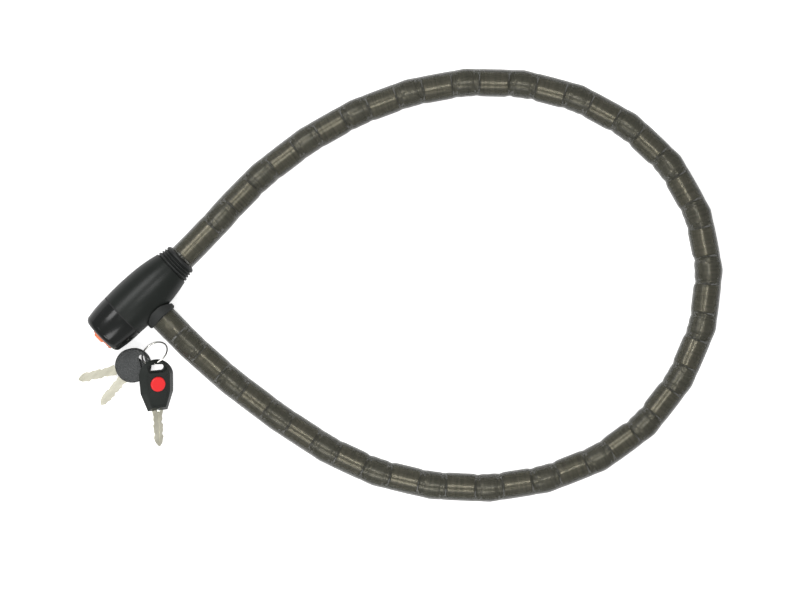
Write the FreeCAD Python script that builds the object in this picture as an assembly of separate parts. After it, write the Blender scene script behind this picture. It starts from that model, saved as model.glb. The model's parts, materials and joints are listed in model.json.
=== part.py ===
import FreeCAD, Part
import math
import os
from FreeCAD import Placement, Rotation, Vector

# Armoured key cable lock. Millimetres, +Z up, floor at z = 0.
# The origin lies on the floor under the crossing of the head's axis and the plug's axis.
# +X runs along the head towards the keyhole, +Y runs out of the plug socket.

# ---------------------------------------------------------------- driving sizes
# head, lying on the floor
HEAD_RADIUS = 20.0            # crown of the barrel-shaped shell
CROWN_X = 7.0                 # where the shell is fattest
SEAM_X = 22.0                 # joint between shell and end cap
SEAM_RADIUS = 19.7
SHOULDER_X = -12.0
SHOULDER_RADIUS = 19.05
WAIST_X = -23.0
WAIST_RADIUS = 17.5
NECK_X = -32.0                # joint between shell and collar
NECK_RADIUS = 15.5
SHELL_WALL = 2.4
FIT = 0.05                    # running and seating clearance, per side
GAP = 0.3                     # clearance between pieces that move apart

# end cap
FACE_X = 46.0                 # flat front face
CAP_MID_X = 35.0
CAP_MID_RADIUS = 19.1
CAP_EDGE = 4.0                # rounding of the front edge
CAP_WALL = 2.4
CAP_SPIGOT = 4.0              # length of cap that enters the shell
SEAM_GROOVE = 0.6

# collar on the fixed cable
COLLAR_X = -44.0              # free end of the collar
COLLAR_RADII = (15.4, 14.4, 13.5)
COLLAR_END_RADIUS = 11.6
COLLAR_RIB = 3.1
COLLAR_GROOVE = 0.8
COLLAR_GROOVE_DEPTH = 0.8
COLLAR_SPIGOT = 5.0
COLLAR_SPIGOT_RADIUS = 12.4

# core
CORE_REAR_X = NECK_X + COLLAR_SPIGOT + 0.5
CORE_REAR_RADIUS = 12.6
CORE_FRONT_X = 36.0
CORE_FRONT_RADIUS = 12.2

# key cylinder
HOUSING_RADIUS = 8.2
HOUSING_FLANGE_RADIUS = 8.7
HOUSING_FLANGE = 1.6
HOUSING_FRONT_X = FACE_X - 1.2
HOUSING_REAR_X = 13.6
ROTOR_RADIUS = 6.4
ROTOR_HEAD_RADIUS = 7.4
ROTOR_HEAD = 1.6
ROTOR_RECESS = 0.4
ROTOR_TAIL = 1.2              # length behind the housing for the clip
KEYWAY_HEIGHT = 9.2
KEYWAY_WIDTH = 2.7
KEYWAY_DEPTH = 29.0
WAFER_COUNT = 6
WAFER_PITCH = 3.2
WAFER_THICK = 1.3
WAFER_WIDTH = 6.2
WAFER_HEIGHT = 12.2
CLIP_RADIUS = 7.6
CLIP_THICK = 0.8
HOUSING_PIN_RADIUS = 1.25

# latch driven by the rotor's stud
STUD_OFFSET = 2.2
STUD_RADIUS = 1.5
STUD_LENGTH = 3.4
STUD_REST = 45.0              # degrees above +Y when unlocked
LATCH_WIDTH = 11.0
LATCH_PLATE = 3.0
LATCH_NOSE_WIDTH = 4.4
LATCH_NOSE_HALF = 3.4         # half length of the nose along the head
LATCH_TOP = 12.2              # above the head's axis when retracted
LATCH_PLATE_DROP = 5.6        # how far the plate reaches below the head's axis
SLOT_CLEAR = 0.2
SPRING_HALF = 1.3             # half width of the folded strip, both ways
SPRING_STRIP = 0.3            # thickness of the strip
SPRING_LEAVES = 3
SPRING_SEAT_RADIUS = 2.2
SPRING_SEAT = 1.2             # depth of the seat in the latch
SPRING_HEADROOM = 0.9         # from the latch's clearance to the screw
PLUG_SCREW_RADIUS = 2.6
PLUG_SCREW_LENGTH = 2.6

# plug
PIN_RADIUS = 6.0
PIN_TIP = -11.0               # inner end of the pin
PIN_NECK_RADIUS = 2.85
PIN_NECK_Y = -1.0
PIN_NECK_WIDTH = 5.4
PIN_POINT = 2.4
PIN_FLARE = 0.4               # clearance of the pin in its bush, per side
BUSH_WALL = 1.6
PLUG_CAP_RADIUS = 13.0
PLUG_CAP_OUTER_Y = 24.0
PLUG_CAP_LIP = 0.9
CAP_STANDOFF = 0.35           # between cap and shell when pushed home
FERRULE_LENGTH = 17.0
ROPE_SOCKET = 6.0              # depth of the rope's bore in the plug ferrule
ANCHOR_WEB = 3.5               # from the cross pin to the end of the rope's bore
RIVET_RADIUS = 3.3
RIVET_Y = 32.0
RIVET_PROUD = 0.25

# armoured cable
SLEEVE_RADIUS = 11.0
SLEEVE_BORE = 9.85
BARREL_RADIUS = 8.68
BARREL_BORE = 4.7
BARREL_CHAMFER = 0.7
PITCH = 45.0                  # ring centre to ring centre
RING_BAND = 13.0              # length of a ring's full-width band
RING_HUB_RADIUS = 7.0
BARREL_SEAT = 11.5            # ring centre to the flat end of a barrel
COLLAR_STANDOFF = 1.0         # collar to the first barrel
ROPE_RADIUS = 2.75
ROPE_SETBACK = 1.0             # rope kept back from the seats beside a hinge
HINGE_SLEEVE_GAP = 1.2         # past a hinge's ring to the start of the next sleeve
HINGE_RINGS = (1, 8, 16)      # rings that carry a hinge, counted from 0 at the collar
ANCHOR_RADIUS = 7.0
ANCHOR_LENGTH = 22.0
ANCHOR_PIN_RADIUS = 2.0

# keyhole cover
COVER_RADIUS = 6.9
COVER_THICK = 1.3
COVER_RIB_HALF = 4.3
COVER_RIB_LENGTH = 12.0
COVER_RIB_PROUD = 2.9
COVER_PIVOT_Y = 9.9
COVER_BOSS_RADIUS = 2.5
COVER_PIN_RADIUS = 0.9
COVER_POCKET = 0.7

# keys: round bow
BOW_RADIUS = 13.75
BOW_THICK = 3.2
BOW_RIM = 1.6
BOW_DISH = 0.35
BLADE_THICK = 2.2
BLADE_HALF = 4.4
BLADE_TIP_HALF = 2.6
TANG_START = 0.0             # inner end of the tang, from the bow's centre
BOW_SLOT_X = -9.0
BOW_SLOT_HALF = 4.2           # straight half length of the slot
BOW_SLOT_RADIUS = 2.4
WEB_THICK = 2.2               # wall left at a slot
KEY_A_LENGTH = 44.8           # bow centre to tip
KEY_B_LENGTH = 42.0
KEY_TILT = 4.7
KEY_A_CENTRE = Vector(45.3, 33.6, 8.15)
KEY_A_YAW = -29.4
KEY_B_CENTRE = Vector(43.9, 34.4, 4.7)
KEY_B_YAW = 5.7

# keys: lamp key
LAMP_LENGTH = 42.0
LAMP_HALF = 14.2
LAMP_END_HALF = 8.2
LAMP_THICK = 9.0
LAMP_SPLIT = 4.2              # parting height
LAMP_FACE_INSET = 4.0
LAMP_FLOOR_INSET = 4.0
LAMP_WALL = 1.5
LAMP_HEIGHT = 6.05            # axis of the small lamp
LAMP_RADIUS = 1.45
LAMP_BLADE_TIP = 71.5
LAMP_BLADE_Z = 3.4            # middle of the blade's thickness
LAMP_BLADE_HALF = 3.4
LAMP_BLADE_SEAT = 11.0        # length of the blade held between the shells
LAMP_SLOT_X = 6.6
BUTTON_X = 19.5
BUTTON_RADIUS = 6.0
BUTTON_PROUD = 1.3
BUTTON_TRAVEL = 0.8
CELL_RADIUS = 5.0
CELL_THICK = 1.4
LAMP_TOP = Vector(28.4, 41.7, 12.3)
LAMP_YAW = 47.8
LAMP_ROLL = -20.0
LAMP_PITCH = 11.2

# split ring
RING_RADIUS = 11.0
RING_WIRE = 0.65
RING_CENTRE = Vector(25.3, 39.0, 9.0)
RING_TILT = 45.0
RING_TILT_AXIS = -13.0        # direction of the level diameter, degrees from +X
RING_RELIEF = 0.5             # clearance worn into the key slots along the ring
KEY_A_SWING = (0, -5, -10, -15)
KEY_B_SWING = (-8, -4, 0, 4, 8)
LAMP_SWING = (0, 4, 8, 12, 16, 20, 24)

# route of the cable's centre line, collar to plug
ROUTE = [
    (COLLAR_X, 0, HEAD_RADIUS), (-72, 0, HEAD_RADIUS), (-118, -4.5, 14.5), (-166, -1.5, 11),
    (-215, 9, 11), (-262, 28, 11), (-303, 54, 11), (-338, 89, 11), (-364, 133, 11),
    (-378, 187, 11), (-374, 241, 11), (-350, 291, 11), (-308, 329, 11), (-255, 350, 11), (-199, 354, 11),
    (-144, 338, 11), (-95, 307, 11), (-56, 265, 11), (-28, 216, 11.5), (-13, 160, 13.5),
    (-4, 104, 18.5), (0, 62, 20), (0, PLUG_CAP_OUTER_Y, HEAD_RADIUS),
]

CORNER_SHARE = 0.45           # of the shorter run, taken up by a bend of the route
CHORD_SHIFT = 0.125           # of the bend at a ring, by which the ring is set out

AXIS_Z = HEAD_RADIUS
X_AXIS = Vector(1, 0, 0)
Y_AXIS = Vector(0, 1, 0)
Z_AXIS = Vector(0, 0, 1)


# ---------------------------------------------------------------- helpers
def revolve_x(outline):
    """Turn an outline of edges in the XZ plane (z = radius) about the head's axis."""
    wire = Part.Wire(Part.__sortEdges__(outline))
    solid = Part.Face(wire).revolve(Vector(0, 0, 0), X_AXIS, 360)
    solid = Part.Solid(solid) if solid.ShapeType != "Solid" else solid
    solid.translate(Vector(0, 0, AXIS_Z))
    return solid


def line(start, end):
    """Edge between two (x, radius) points."""
    return Part.makeLine(Vector(start[0], 0, start[1]), Vector(end[0], 0, end[1]))


def lines(points, closed=True):
    """Edges through (x, radius) points."""
    ends = points[1:] + (points[:1] if closed else [])
    return [line(a, b) for a, b in zip(points, ends)]


def arc(start, middle, end):
    """Arc through three (x, radius) points."""
    ends = [Vector(p[0], 0, p[1]) for p in (start, middle, end)]
    return Part.Arc(*ends).toShape()


def rod(radius, start, end):
    """Cylinder between two points."""
    axis = end - start
    return Part.makeCylinder(radius, axis.Length, start, axis)


def tube(outer, inner, start, end):
    """Pipe between two points."""
    return rod(outer, start, end).cut(rod(inner, start, end))


def block(low, high):
    """Box between two corners."""
    size = [b - a for a, b in zip(low, high)]
    return Part.makeBox(size[0], size[1], size[2], Vector(*low))


def on_axis(x, y=0.0, z=0.0):
    """Point given from the head's axis."""
    return Vector(x, y, AXIS_Z + z)


def export(name, shape):
    """Write one node."""
    solids = shape.Solids
    assert solids and shape.isValid(), name
    body = solids[0] if len(solids) == 1 else Part.makeCompound(solids)
    body.exportStep(f"parts/{name}.step")
    NODES[name] = body


NODES = {}


# ---------------------------------------------------------------- head
def shell_outline(offset=0.0):
    """Crowned outline from the neck to the seam, moved inwards by an offset."""
    neck = (NECK_X, NECK_RADIUS - offset)
    waist = (WAIST_X, WAIST_RADIUS - offset)
    shoulder = (SHOULDER_X, SHOULDER_RADIUS - offset)
    crown = (CROWN_X, HEAD_RADIUS - offset)
    seam = (SEAM_X, SEAM_RADIUS - offset)
    top = [arc(neck, waist, shoulder), arc(shoulder, crown, seam)]
    rest = lines([neck, (NECK_X, 0), (SEAM_X, 0), seam], closed=False)
    return top + rest


def socket_cut(radius):
    """Round hole along the plug's axis."""
    return rod(radius, on_axis(0, 0), on_axis(0, HEAD_RADIUS * 2))


def make_head_shell():
    """Outer shell with a round pocket for the plug's cap."""
    shell = revolve_x(shell_outline())
    shell = shell.cut(revolve_x(shell_outline(SHELL_WALL)))
    rear_wall = rod(NECK_RADIUS - 1, on_axis(NECK_X), on_axis(NECK_X + SHELL_WALL))
    shell = shell.fuse(rear_wall)
    shell = shell.cut(rod(COLLAR_SPIGOT_RADIUS + FIT, on_axis(NECK_X - 1), on_axis(CORE_REAR_X)))
    lip = SEAM_RADIUS - SEAM_GROOVE
    groove = tube(HEAD_RADIUS + 1, lip, on_axis(SEAM_X - SEAM_GROOVE), on_axis(SEAM_X))
    shell = shell.cut(groove)
    shell = shell.cut(socket_cut(PIN_RADIUS + BUSH_WALL + FIT))
    screw_path = rod(PLUG_SCREW_RADIUS + 1, on_axis(0), on_axis(0, 0, HEAD_RADIUS - SHELL_WALL))
    return shell.cut(screw_path).removeSplitter()


def core_outline():
    """Outline of the cast core, clear of the shell all along."""
    clear = SHELL_WALL + FIT
    rear = (CORE_REAR_X, NECK_RADIUS - clear)
    waist = (WAIST_X + 2, WAIST_RADIUS - clear)
    shoulder = (SHOULDER_X, SHOULDER_RADIUS - clear - 0.5)
    front = SEAM_X - CAP_SPIGOT - FIT
    radius = SEAM_RADIUS - clear - 0.6
    step = SEAM_RADIUS - SHELL_WALL - CAP_WALL - 2 * FIT
    return lines([rear, waist, shoulder, (0, radius), (front, radius), (front, step),
                  (CORE_FRONT_X, CORE_FRONT_RADIUS), (CORE_FRONT_X, 0), (CORE_REAR_X, 0)])


def latch_room():
    """Space in the core for the latch, open towards the top plug."""
    half = LATCH_WIDTH / 2 + FIT
    plate_front = HOUSING_REAR_X - ROTOR_TAIL + 1.2
    arm_back = -LATCH_NOSE_HALF - FIT
    floor = -LATCH_PLATE_DROP - latch_travel() - GAP
    arm_floor = PIN_RADIUS - 2
    plate = block((plate_front - LATCH_PLATE - 3.6, -half, AXIS_Z + floor),
                  (plate_front, half, AXIS_Z + LATCH_TOP + GAP))
    arm = block((arm_back, -half, AXIS_Z + arm_floor),
                (plate_front, half, AXIS_Z + LATCH_TOP + GAP))
    return plate.fuse(arm)


def latch_travel():
    """Drop of the latch between unlocked and locked."""
    return 2 * STUD_OFFSET * math.sin(math.radians(STUD_REST))


def make_lock_core():
    """Cast core that carries cylinder, latch, socket bush and cable anchor."""
    core = revolve_x(core_outline())
    core = core.cut(rod(HOUSING_RADIUS + FIT, on_axis(HOUSING_REAR_X - ROTOR_TAIL - 2),
                        on_axis(CORE_FRONT_X + 1)))
    core = core.cut(rod(PIN_RADIUS + BUSH_WALL + FIT, on_axis(0, PIN_TIP - 1.5),
                        on_axis(0, HEAD_RADIUS)))
    core = core.cut(latch_room())
    core = core.cut(rod(ANCHOR_RADIUS + FIT, on_axis(NECK_X), on_axis(NECK_X + ANCHOR_LENGTH)))
    core = core.cut(anchor_pin_rod(FIT))
    core = core.cut(rod(PLUG_SCREW_RADIUS + FIT, on_axis(0, 0, LATCH_TOP - 1),
                        on_axis(0, 0, HEAD_RADIUS)))
    return core.cut(housing_pin_rod(FIT))


def anchor_x():
    """Place of the anchor's cross pin along the head."""
    return NECK_X + ANCHOR_LENGTH - 7.0


def anchor_pin_rod(clear):
    """Cross pin through core and anchor ferrule."""
    reach = WAIST_RADIUS - SHELL_WALL - 1.0
    return rod(ANCHOR_PIN_RADIUS + clear, on_axis(anchor_x(), -reach - clear),
               on_axis(anchor_x(), reach + clear))


def housing_pin_rod(clear):
    """Roll pin that keys the housing to the core, below the rotor."""
    x = HOUSING_REAR_X + 6
    return rod(HOUSING_PIN_RADIUS + clear, on_axis(x, 0, -ROTOR_RADIUS - 1.2 + clear),
               on_axis(x, 0, -HOUSING_RADIUS - 4 - clear))


def make_end_cap():
    """Glossy cap with its spigot, front wall and keyhole."""
    seam = (SEAM_X, SEAM_RADIUS)
    face_radius = CAP_MID_RADIUS - CAP_EDGE - 1.0
    corner = (FACE_X - CAP_EDGE * 0.32, CAP_MID_RADIUS - CAP_EDGE * 0.62)
    shoulder = (FACE_X - CAP_EDGE - 0.6, CAP_MID_RADIUS - 1.0)
    outline = [arc(seam, (CAP_MID_X - 4, CAP_MID_RADIUS + 0.35), shoulder),
               arc(shoulder, corner, (FACE_X, face_radius))]
    outline += lines([(FACE_X, face_radius), (FACE_X, 0), (SEAM_X, 0), seam], closed=False)
    cap = revolve_x(outline)
    inner = SEAM_RADIUS - SHELL_WALL - CAP_WALL
    spigot = rod(SEAM_RADIUS - SHELL_WALL - FIT, on_axis(SEAM_X - CAP_SPIGOT), on_axis(SEAM_X))
    cap = cap.fuse(spigot)
    cap = cap.cut(rod(inner, on_axis(SEAM_X - CAP_SPIGOT - 1), on_axis(CORE_FRONT_X + FIT)))
    cap = cap.cut(rod(HOUSING_RADIUS + FIT, on_axis(CORE_FRONT_X), on_axis(FACE_X + 1)))
    flange_back = HOUSING_FRONT_X - HOUSING_FLANGE - FIT
    cap = cap.cut(rod(HOUSING_FLANGE_RADIUS + FIT, on_axis(flange_back), on_axis(FACE_X + 1)))
    boss_seat = rod(COVER_BOSS_RADIUS + GAP, on_axis(FACE_X - COVER_POCKET, COVER_PIVOT_Y),
                    on_axis(FACE_X + 1, COVER_PIVOT_Y))
    cap = cap.cut(boss_seat)
    pin = rod(COVER_PIN_RADIUS, on_axis(FACE_X - 3, COVER_PIVOT_Y),
              on_axis(FACE_X + 1, COVER_PIVOT_Y))
    return cap.cut(pin).removeSplitter()


def make_collar():
    """Ribbed collar that closes the head over the fixed end of the cable."""
    points = [(NECK_X, 0)]
    x = NECK_X
    for rib, radius in enumerate(COLLAR_RADII):
        points += [(x, radius), (x - COLLAR_RIB, radius - 0.35)]
        x -= COLLAR_RIB
        if rib < len(COLLAR_RADII) - 1:
            low = radius - COLLAR_GROOVE_DEPTH - 0.35
            points += [(x, low), (x - COLLAR_GROOVE, low)]
            x -= COLLAR_GROOVE
    points += [(COLLAR_X, COLLAR_END_RADIUS), (COLLAR_X, 0)]
    collar = revolve_x(lines(points))
    spigot = rod(COLLAR_SPIGOT_RADIUS, on_axis(NECK_X), on_axis(NECK_X + COLLAR_SPIGOT))
    collar = collar.fuse(spigot)
    collar = collar.cut(rod(ANCHOR_RADIUS + FIT, on_axis(NECK_X - 2), on_axis(CORE_REAR_X)))
    return collar.cut(rod(ROPE_RADIUS + FIT, on_axis(COLLAR_X - 1), on_axis(NECK_X))
                      ).removeSplitter()


def make_anchor_ferrule():
    """Steel ferrule pressed on the rope's fixed end."""
    start = on_axis(NECK_X - 2 + FIT)
    end = on_axis(NECK_X + ANCHOR_LENGTH - FIT)
    ferrule = rod(ANCHOR_RADIUS, start, end)
    ferrule = ferrule.cut(rod(ROPE_RADIUS + FIT, start, on_axis(anchor_x() - ANCHOR_WEB)))
    return ferrule.cut(anchor_pin_rod(FIT))


def make_housing():
    """Brass housing of the key cylinder."""
    rear = on_axis(HOUSING_REAR_X)
    front = on_axis(HOUSING_FRONT_X)
    housing = rod(HOUSING_RADIUS, rear, front)
    flange = rod(HOUSING_FLANGE_RADIUS, on_axis(HOUSING_FRONT_X - HOUSING_FLANGE), front)
    housing = housing.fuse(flange)
    housing = housing.cut(rod(ROTOR_RADIUS + FIT, on_axis(HOUSING_REAR_X - 1), front + X_AXIS))
    head_back = on_axis(HOUSING_FRONT_X - ROTOR_HEAD - ROTOR_RECESS - FIT)
    housing = housing.cut(rod(ROTOR_HEAD_RADIUS + FIT, head_back, front + X_AXIS))
    length = WAFER_COUNT * WAFER_PITCH + 2
    low = rotor_front() - ROTOR_HEAD - 2 - length
    channel = block((low, -WAFER_WIDTH / 2 - 0.1, AXIS_Z - HOUSING_RADIUS + 1.4),
                    (low + length, WAFER_WIDTH / 2 + 0.1, AXIS_Z + HOUSING_RADIUS - 1.4))
    housing = housing.cut(channel)
    return housing.cut(housing_pin_rod(FIT)).removeSplitter()


def rotor_front():
    """Front face of the rotor."""
    return HOUSING_FRONT_X - ROTOR_RECESS


def stud_centre(x):
    """Place of the rotor's stud when unlocked."""
    angle = math.radians(STUD_REST)
    return on_axis(x, STUD_OFFSET * math.cos(angle), STUD_OFFSET * math.sin(angle))


def wafer_places():
    """X of each wafer slot."""
    first = rotor_front() - ROTOR_HEAD - 4
    return [first - WAFER_PITCH * i for i in range(WAFER_COUNT)]


def keyway():
    """Slot for the key's blade, upright when unlocked."""
    front = rotor_front()
    return block((front - KEYWAY_DEPTH, -KEYWAY_WIDTH / 2, AXIS_Z - KEYWAY_HEIGHT / 2),
                 (front + 1, KEYWAY_WIDTH / 2, AXIS_Z + KEYWAY_HEIGHT / 2))


def make_rotor():
    """Rotor with keyway, wafer slots and the stud that drives the latch."""
    tail = HOUSING_REAR_X - ROTOR_TAIL
    rotor = rod(ROTOR_RADIUS, on_axis(tail), on_axis(rotor_front()))
    head = rod(ROTOR_HEAD_RADIUS, on_axis(rotor_front() - ROTOR_HEAD), on_axis(rotor_front()))
    rotor = rotor.fuse(head).cut(keyway())
    for x in wafer_places():
        room = block((x - WAFER_THICK / 2 - FIT, -WAFER_WIDTH / 2 - FIT, AXIS_Z - ROTOR_RADIUS),
                     (x + WAFER_THICK / 2 + FIT, WAFER_WIDTH / 2 + FIT, AXIS_Z + ROTOR_RADIUS))
        rotor = rotor.cut(room)
    groove = tube(ROTOR_RADIUS + 1, ROTOR_RADIUS - 0.8, on_axis(tail + 0.15),
                  on_axis(tail + 0.15 + CLIP_THICK + 0.1))
    rotor = rotor.cut(groove)
    stud = rod(STUD_RADIUS, stud_centre(tail - STUD_LENGTH), stud_centre(tail))
    return rotor.fuse(stud).removeSplitter()


def make_wafers():
    """Wafers inside the rotor, each with a window for the blade."""
    wafers = []
    reach = ROTOR_RADIUS - 0.5
    for index, x in enumerate(wafer_places()):
        lift = (0.0, 0.35, -0.25, 0.2, -0.35, 0.1)[index % 6]
        wafer = block((x - WAFER_THICK / 2, -WAFER_WIDTH / 2, AXIS_Z - reach + 0.4 + lift),
                      (x + WAFER_THICK / 2, WAFER_WIDTH / 2, AXIS_Z + reach - 0.4 + lift))
        window = block((x - 1, -KEYWAY_WIDTH / 2 - 0.3, AXIS_Z - KEYWAY_HEIGHT / 2 + lift + 0.4),
                       (x + 1, KEYWAY_WIDTH / 2 + 0.3, AXIS_Z + KEYWAY_HEIGHT / 2 + lift - 0.6))
        bound = rod(ROTOR_RADIUS - 0.05, on_axis(x - 1), on_axis(x + 1))
        wafers.append(wafer.cut(window).common(bound))
    return Part.makeCompound(wafers)


def make_rotor_clip():
    """Open clip that holds the rotor in its housing from behind."""
    x = HOUSING_REAR_X - ROTOR_TAIL + 0.2
    ring = tube(CLIP_RADIUS, ROTOR_RADIUS - 0.8 + FIT, on_axis(x), on_axis(x + CLIP_THICK))
    mouth = block((x - 1, -CLIP_RADIUS - 1, AXIS_Z - 2.2), (x + 2, 0, AXIS_Z + 2.2))
    return ring.cut(mouth)


def make_latch():
    """Sliding latch: slotted plate on the rotor's stud and a nose over the plug pin."""
    half = LATCH_WIDTH / 2
    tail = HOUSING_REAR_X - ROTOR_TAIL
    front = tail - GAP
    back = front - LATCH_PLATE
    plate = block((back, -half, AXIS_Z - LATCH_PLATE_DROP), (front, half, AXIS_Z + LATCH_TOP))
    arm_low = PIN_RADIUS + latch_travel() + GAP
    arm = block((-LATCH_NOSE_HALF, -half, AXIS_Z + arm_low), (front, half, AXIS_Z + LATCH_TOP))
    nose = block((-LATCH_NOSE_HALF, PIN_NECK_Y - LATCH_NOSE_WIDTH / 2, AXIS_Z + PIN_RADIUS + GAP),
                 (LATCH_NOSE_HALF, PIN_NECK_Y + LATCH_NOSE_WIDTH / 2, AXIS_Z + arm_low + 1))
    latch = plate.fuse(arm).fuse(nose)
    slot_half = STUD_RADIUS + SLOT_CLEAR
    low = stud_centre(back - 1)
    slot = block((back - 1, STUD_OFFSET * 0.7071 - slot_half - 0.1, low.z - slot_half),
                 (front + 1, STUD_OFFSET + slot_half + 0.1, low.z + slot_half))
    latch = latch.cut(slot)
    spring_seat = rod(SPRING_SEAT_RADIUS, on_axis(0, 0, LATCH_TOP - SPRING_SEAT),
                      on_axis(0, 0, LATCH_TOP + 1))
    return latch.cut(spring_seat).removeSplitter()


def spring_span():
    """Lowest and highest height of the latch spring above the head's axis."""
    return LATCH_TOP - SPRING_SEAT + FIT, LATCH_TOP + GAP + SPRING_HEADROOM


def make_latch_spring():
    """Folded strip spring above the latch: two flat ends joined by sloping leaves."""
    low, high = spring_span()
    rise = (high - low - SPRING_STRIP) / SPRING_LEAVES
    pieces = [block((-SPRING_HALF, -SPRING_HALF, AXIS_Z + base),
                    (SPRING_HALF, SPRING_HALF, AXIS_Z + base + SPRING_STRIP))
              for base in (low, high - SPRING_STRIP)]
    for leaf in range(SPRING_LEAVES):
        side = SPRING_HALF if leaf % 2 == 0 else -SPRING_HALF
        base = low + rise * leaf
        corners = [on_axis(side, -SPRING_HALF, base), on_axis(-side, -SPRING_HALF, base + rise),
                   on_axis(-side, -SPRING_HALF, base + rise + SPRING_STRIP),
                   on_axis(side, -SPRING_HALF, base + SPRING_STRIP)]
        face = Part.Face(Part.makePolygon(corners + corners[:1]))
        pieces.append(face.extrude(Y_AXIS * (2 * SPRING_HALF)))
    return pieces[0].fuse(pieces[1:]).removeSplitter()


def make_spring_screw():
    """Plug screw that closes the latch's bore and backs the spring."""
    base = spring_span()[1] + 0.05
    screw = rod(PLUG_SCREW_RADIUS, on_axis(0, 0, base), on_axis(0, 0, base + PLUG_SCREW_LENGTH))
    driver = block((-2, -0.4, AXIS_Z + base + PLUG_SCREW_LENGTH - 0.9),
                   (2, 0.4, AXIS_Z + base + PLUG_SCREW_LENGTH + 1))
    return screw.cut(driver)


def make_socket_bush():
    """Steel bush that guides the plug pin, windowed for the latch."""
    start = on_axis(0, PIN_TIP - 1.4)
    end = on_axis(0, SHOULDER_RADIUS - 1.2)
    bush = tube(PIN_RADIUS + BUSH_WALL, PIN_RADIUS + PIN_FLARE, start, end)
    half = LATCH_WIDTH / 2 + GAP
    window = block((-HEAD_RADIUS, -half - 0.5, AXIS_Z + 2.4),
                   (HEAD_RADIUS, half + 0.5, AXIS_Z + HEAD_RADIUS))
    return bush.cut(window)


# ---------------------------------------------------------------- plug
def make_plug_pin():
    """Hardened pin with a neck for the latch's nose."""
    tip = on_axis(0, PIN_TIP)
    pin = rod(PIN_RADIUS, tip, on_axis(0, PLUG_CAP_OUTER_Y))
    neck = tube(PIN_RADIUS + 1, PIN_NECK_RADIUS, on_axis(0, PIN_NECK_Y - PIN_NECK_WIDTH / 2),
                on_axis(0, PIN_NECK_Y + PIN_NECK_WIDTH / 2))
    pin = pin.cut(neck)
    point = Part.makeCone(PIN_RADIUS + 1, PIN_RADIUS - PIN_POINT, PIN_POINT + 1,
                          on_axis(0, PIN_TIP + PIN_POINT + 1), Vector(0, -1, 0))
    body = rod(PIN_RADIUS + 1, on_axis(0, PIN_TIP + PIN_POINT), on_axis(0, PLUG_CAP_OUTER_Y))
    pin = pin.common(point.fuse(body))
    shank_end = PLUG_CAP_OUTER_Y + FERRULE_LENGTH - ROPE_SOCKET
    shank = rod(PIN_RADIUS, on_axis(0, PLUG_CAP_OUTER_Y), on_axis(0, shank_end))
    return pin.fuse(shank).cut(rivet_rod(FIT)).removeSplitter()


def make_plug_cap():
    """Cap on the plug, its inner face hollowed to sit over the round shell."""
    inner = on_axis(0, HEAD_RADIUS - 4)
    cap = rod(PLUG_CAP_RADIUS, inner, on_axis(0, PLUG_CAP_OUTER_Y - PLUG_CAP_LIP))
    lip = Part.makeCone(PLUG_CAP_RADIUS, PLUG_CAP_RADIUS - PLUG_CAP_LIP, PLUG_CAP_LIP,
                        on_axis(0, PLUG_CAP_OUTER_Y - PLUG_CAP_LIP), Y_AXIS)
    cap = cap.fuse(lip)
    keep_off = rod(HEAD_RADIUS + CAP_STANDOFF, on_axis(-HEAD_RADIUS), on_axis(HEAD_RADIUS))
    cap = cap.cut(keep_off)
    return cap.cut(rod(PIN_RADIUS + FIT, inner, on_axis(0, PLUG_CAP_OUTER_Y + 1))
                   ).removeSplitter()


def rivet_rod(clear):
    """Rivet across the ferrule and the pin's shank."""
    reach = BARREL_RADIUS
    return rod(RIVET_RADIUS - 0.5 + clear, on_axis(0, RIVET_Y, -reach + 0.6 - clear),
               on_axis(0, RIVET_Y, reach + clear))


def make_plug_ferrule():
    """Steel ferrule that joins the pin to the rope, under the sleeve."""
    start = on_axis(0, PLUG_CAP_OUTER_Y + FIT)
    end = on_axis(0, PLUG_CAP_OUTER_Y + FERRULE_LENGTH)
    ferrule = rod(BARREL_RADIUS, start, end)
    shank_end = PLUG_CAP_OUTER_Y + FERRULE_LENGTH - ROPE_SOCKET
    ferrule = ferrule.cut(rod(PIN_RADIUS + FIT, start, on_axis(0, shank_end + FIT)))
    ferrule = ferrule.cut(rod(ROPE_RADIUS + FIT, on_axis(0, shank_end), end))
    return ferrule.cut(rivet_rod(FIT))


def make_ferrule_rivet():
    """Round-headed rivet through ferrule and pin."""
    rivet = rivet_rod(0.0)
    head = rod(RIVET_RADIUS, on_axis(0, RIVET_Y, BARREL_RADIUS),
               on_axis(0, RIVET_Y, BARREL_RADIUS + RIVET_PROUD))
    return rivet.fuse(head).removeSplitter()


# ---------------------------------------------------------------- cable
def route_edges(points):
    """Straight runs joined by tangent arcs, each as large as its runs allow."""
    edges = []
    last = points[0]
    for before, corner, after in zip(points, points[1:], points[2:]):
        way_in = (corner - before).normalize()
        way_out = (after - corner).normalize()
        turn = way_in.getAngle(way_out)
        cut = CORNER_SHARE * min((corner - before).Length, (after - corner).Length)
        radius = cut / math.tan(turn / 2)
        start = corner - way_in * cut
        end = corner + way_out * cut
        inward = (way_out - way_in).normalize()
        middle = corner + inward * radius * (1 / math.cos(turn / 2) - 1)
        edges.append(Part.LineSegment(last, start).toShape())
        edges.append(Part.Arc(start, middle, end).toShape())
        RADII.append(radius)
        last = end
    edges.append(Part.LineSegment(last, points[-1]).toShape())
    return edges


RADII = []
ROUTE_EDGES = route_edges([Vector(*p) for p in ROUTE])
ROUTE_LENGTH = sum(edge.Length for edge in ROUTE_EDGES)


def at_length(distance):
    """Point and direction on the route, a distance from the collar."""
    distance = min(max(distance, 0.0), ROUTE_LENGTH)
    for edge in ROUTE_EDGES:
        if distance <= edge.Length + 1e-7:
            parameter = edge.getParameterByLength(min(distance, edge.Length))
            return edge.valueAt(parameter), edge.tangentAt(parameter).normalize()
        distance -= edge.Length
    return edge.valueAt(edge.LastParameter), edge.tangentAt(edge.LastParameter).normalize()


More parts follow.
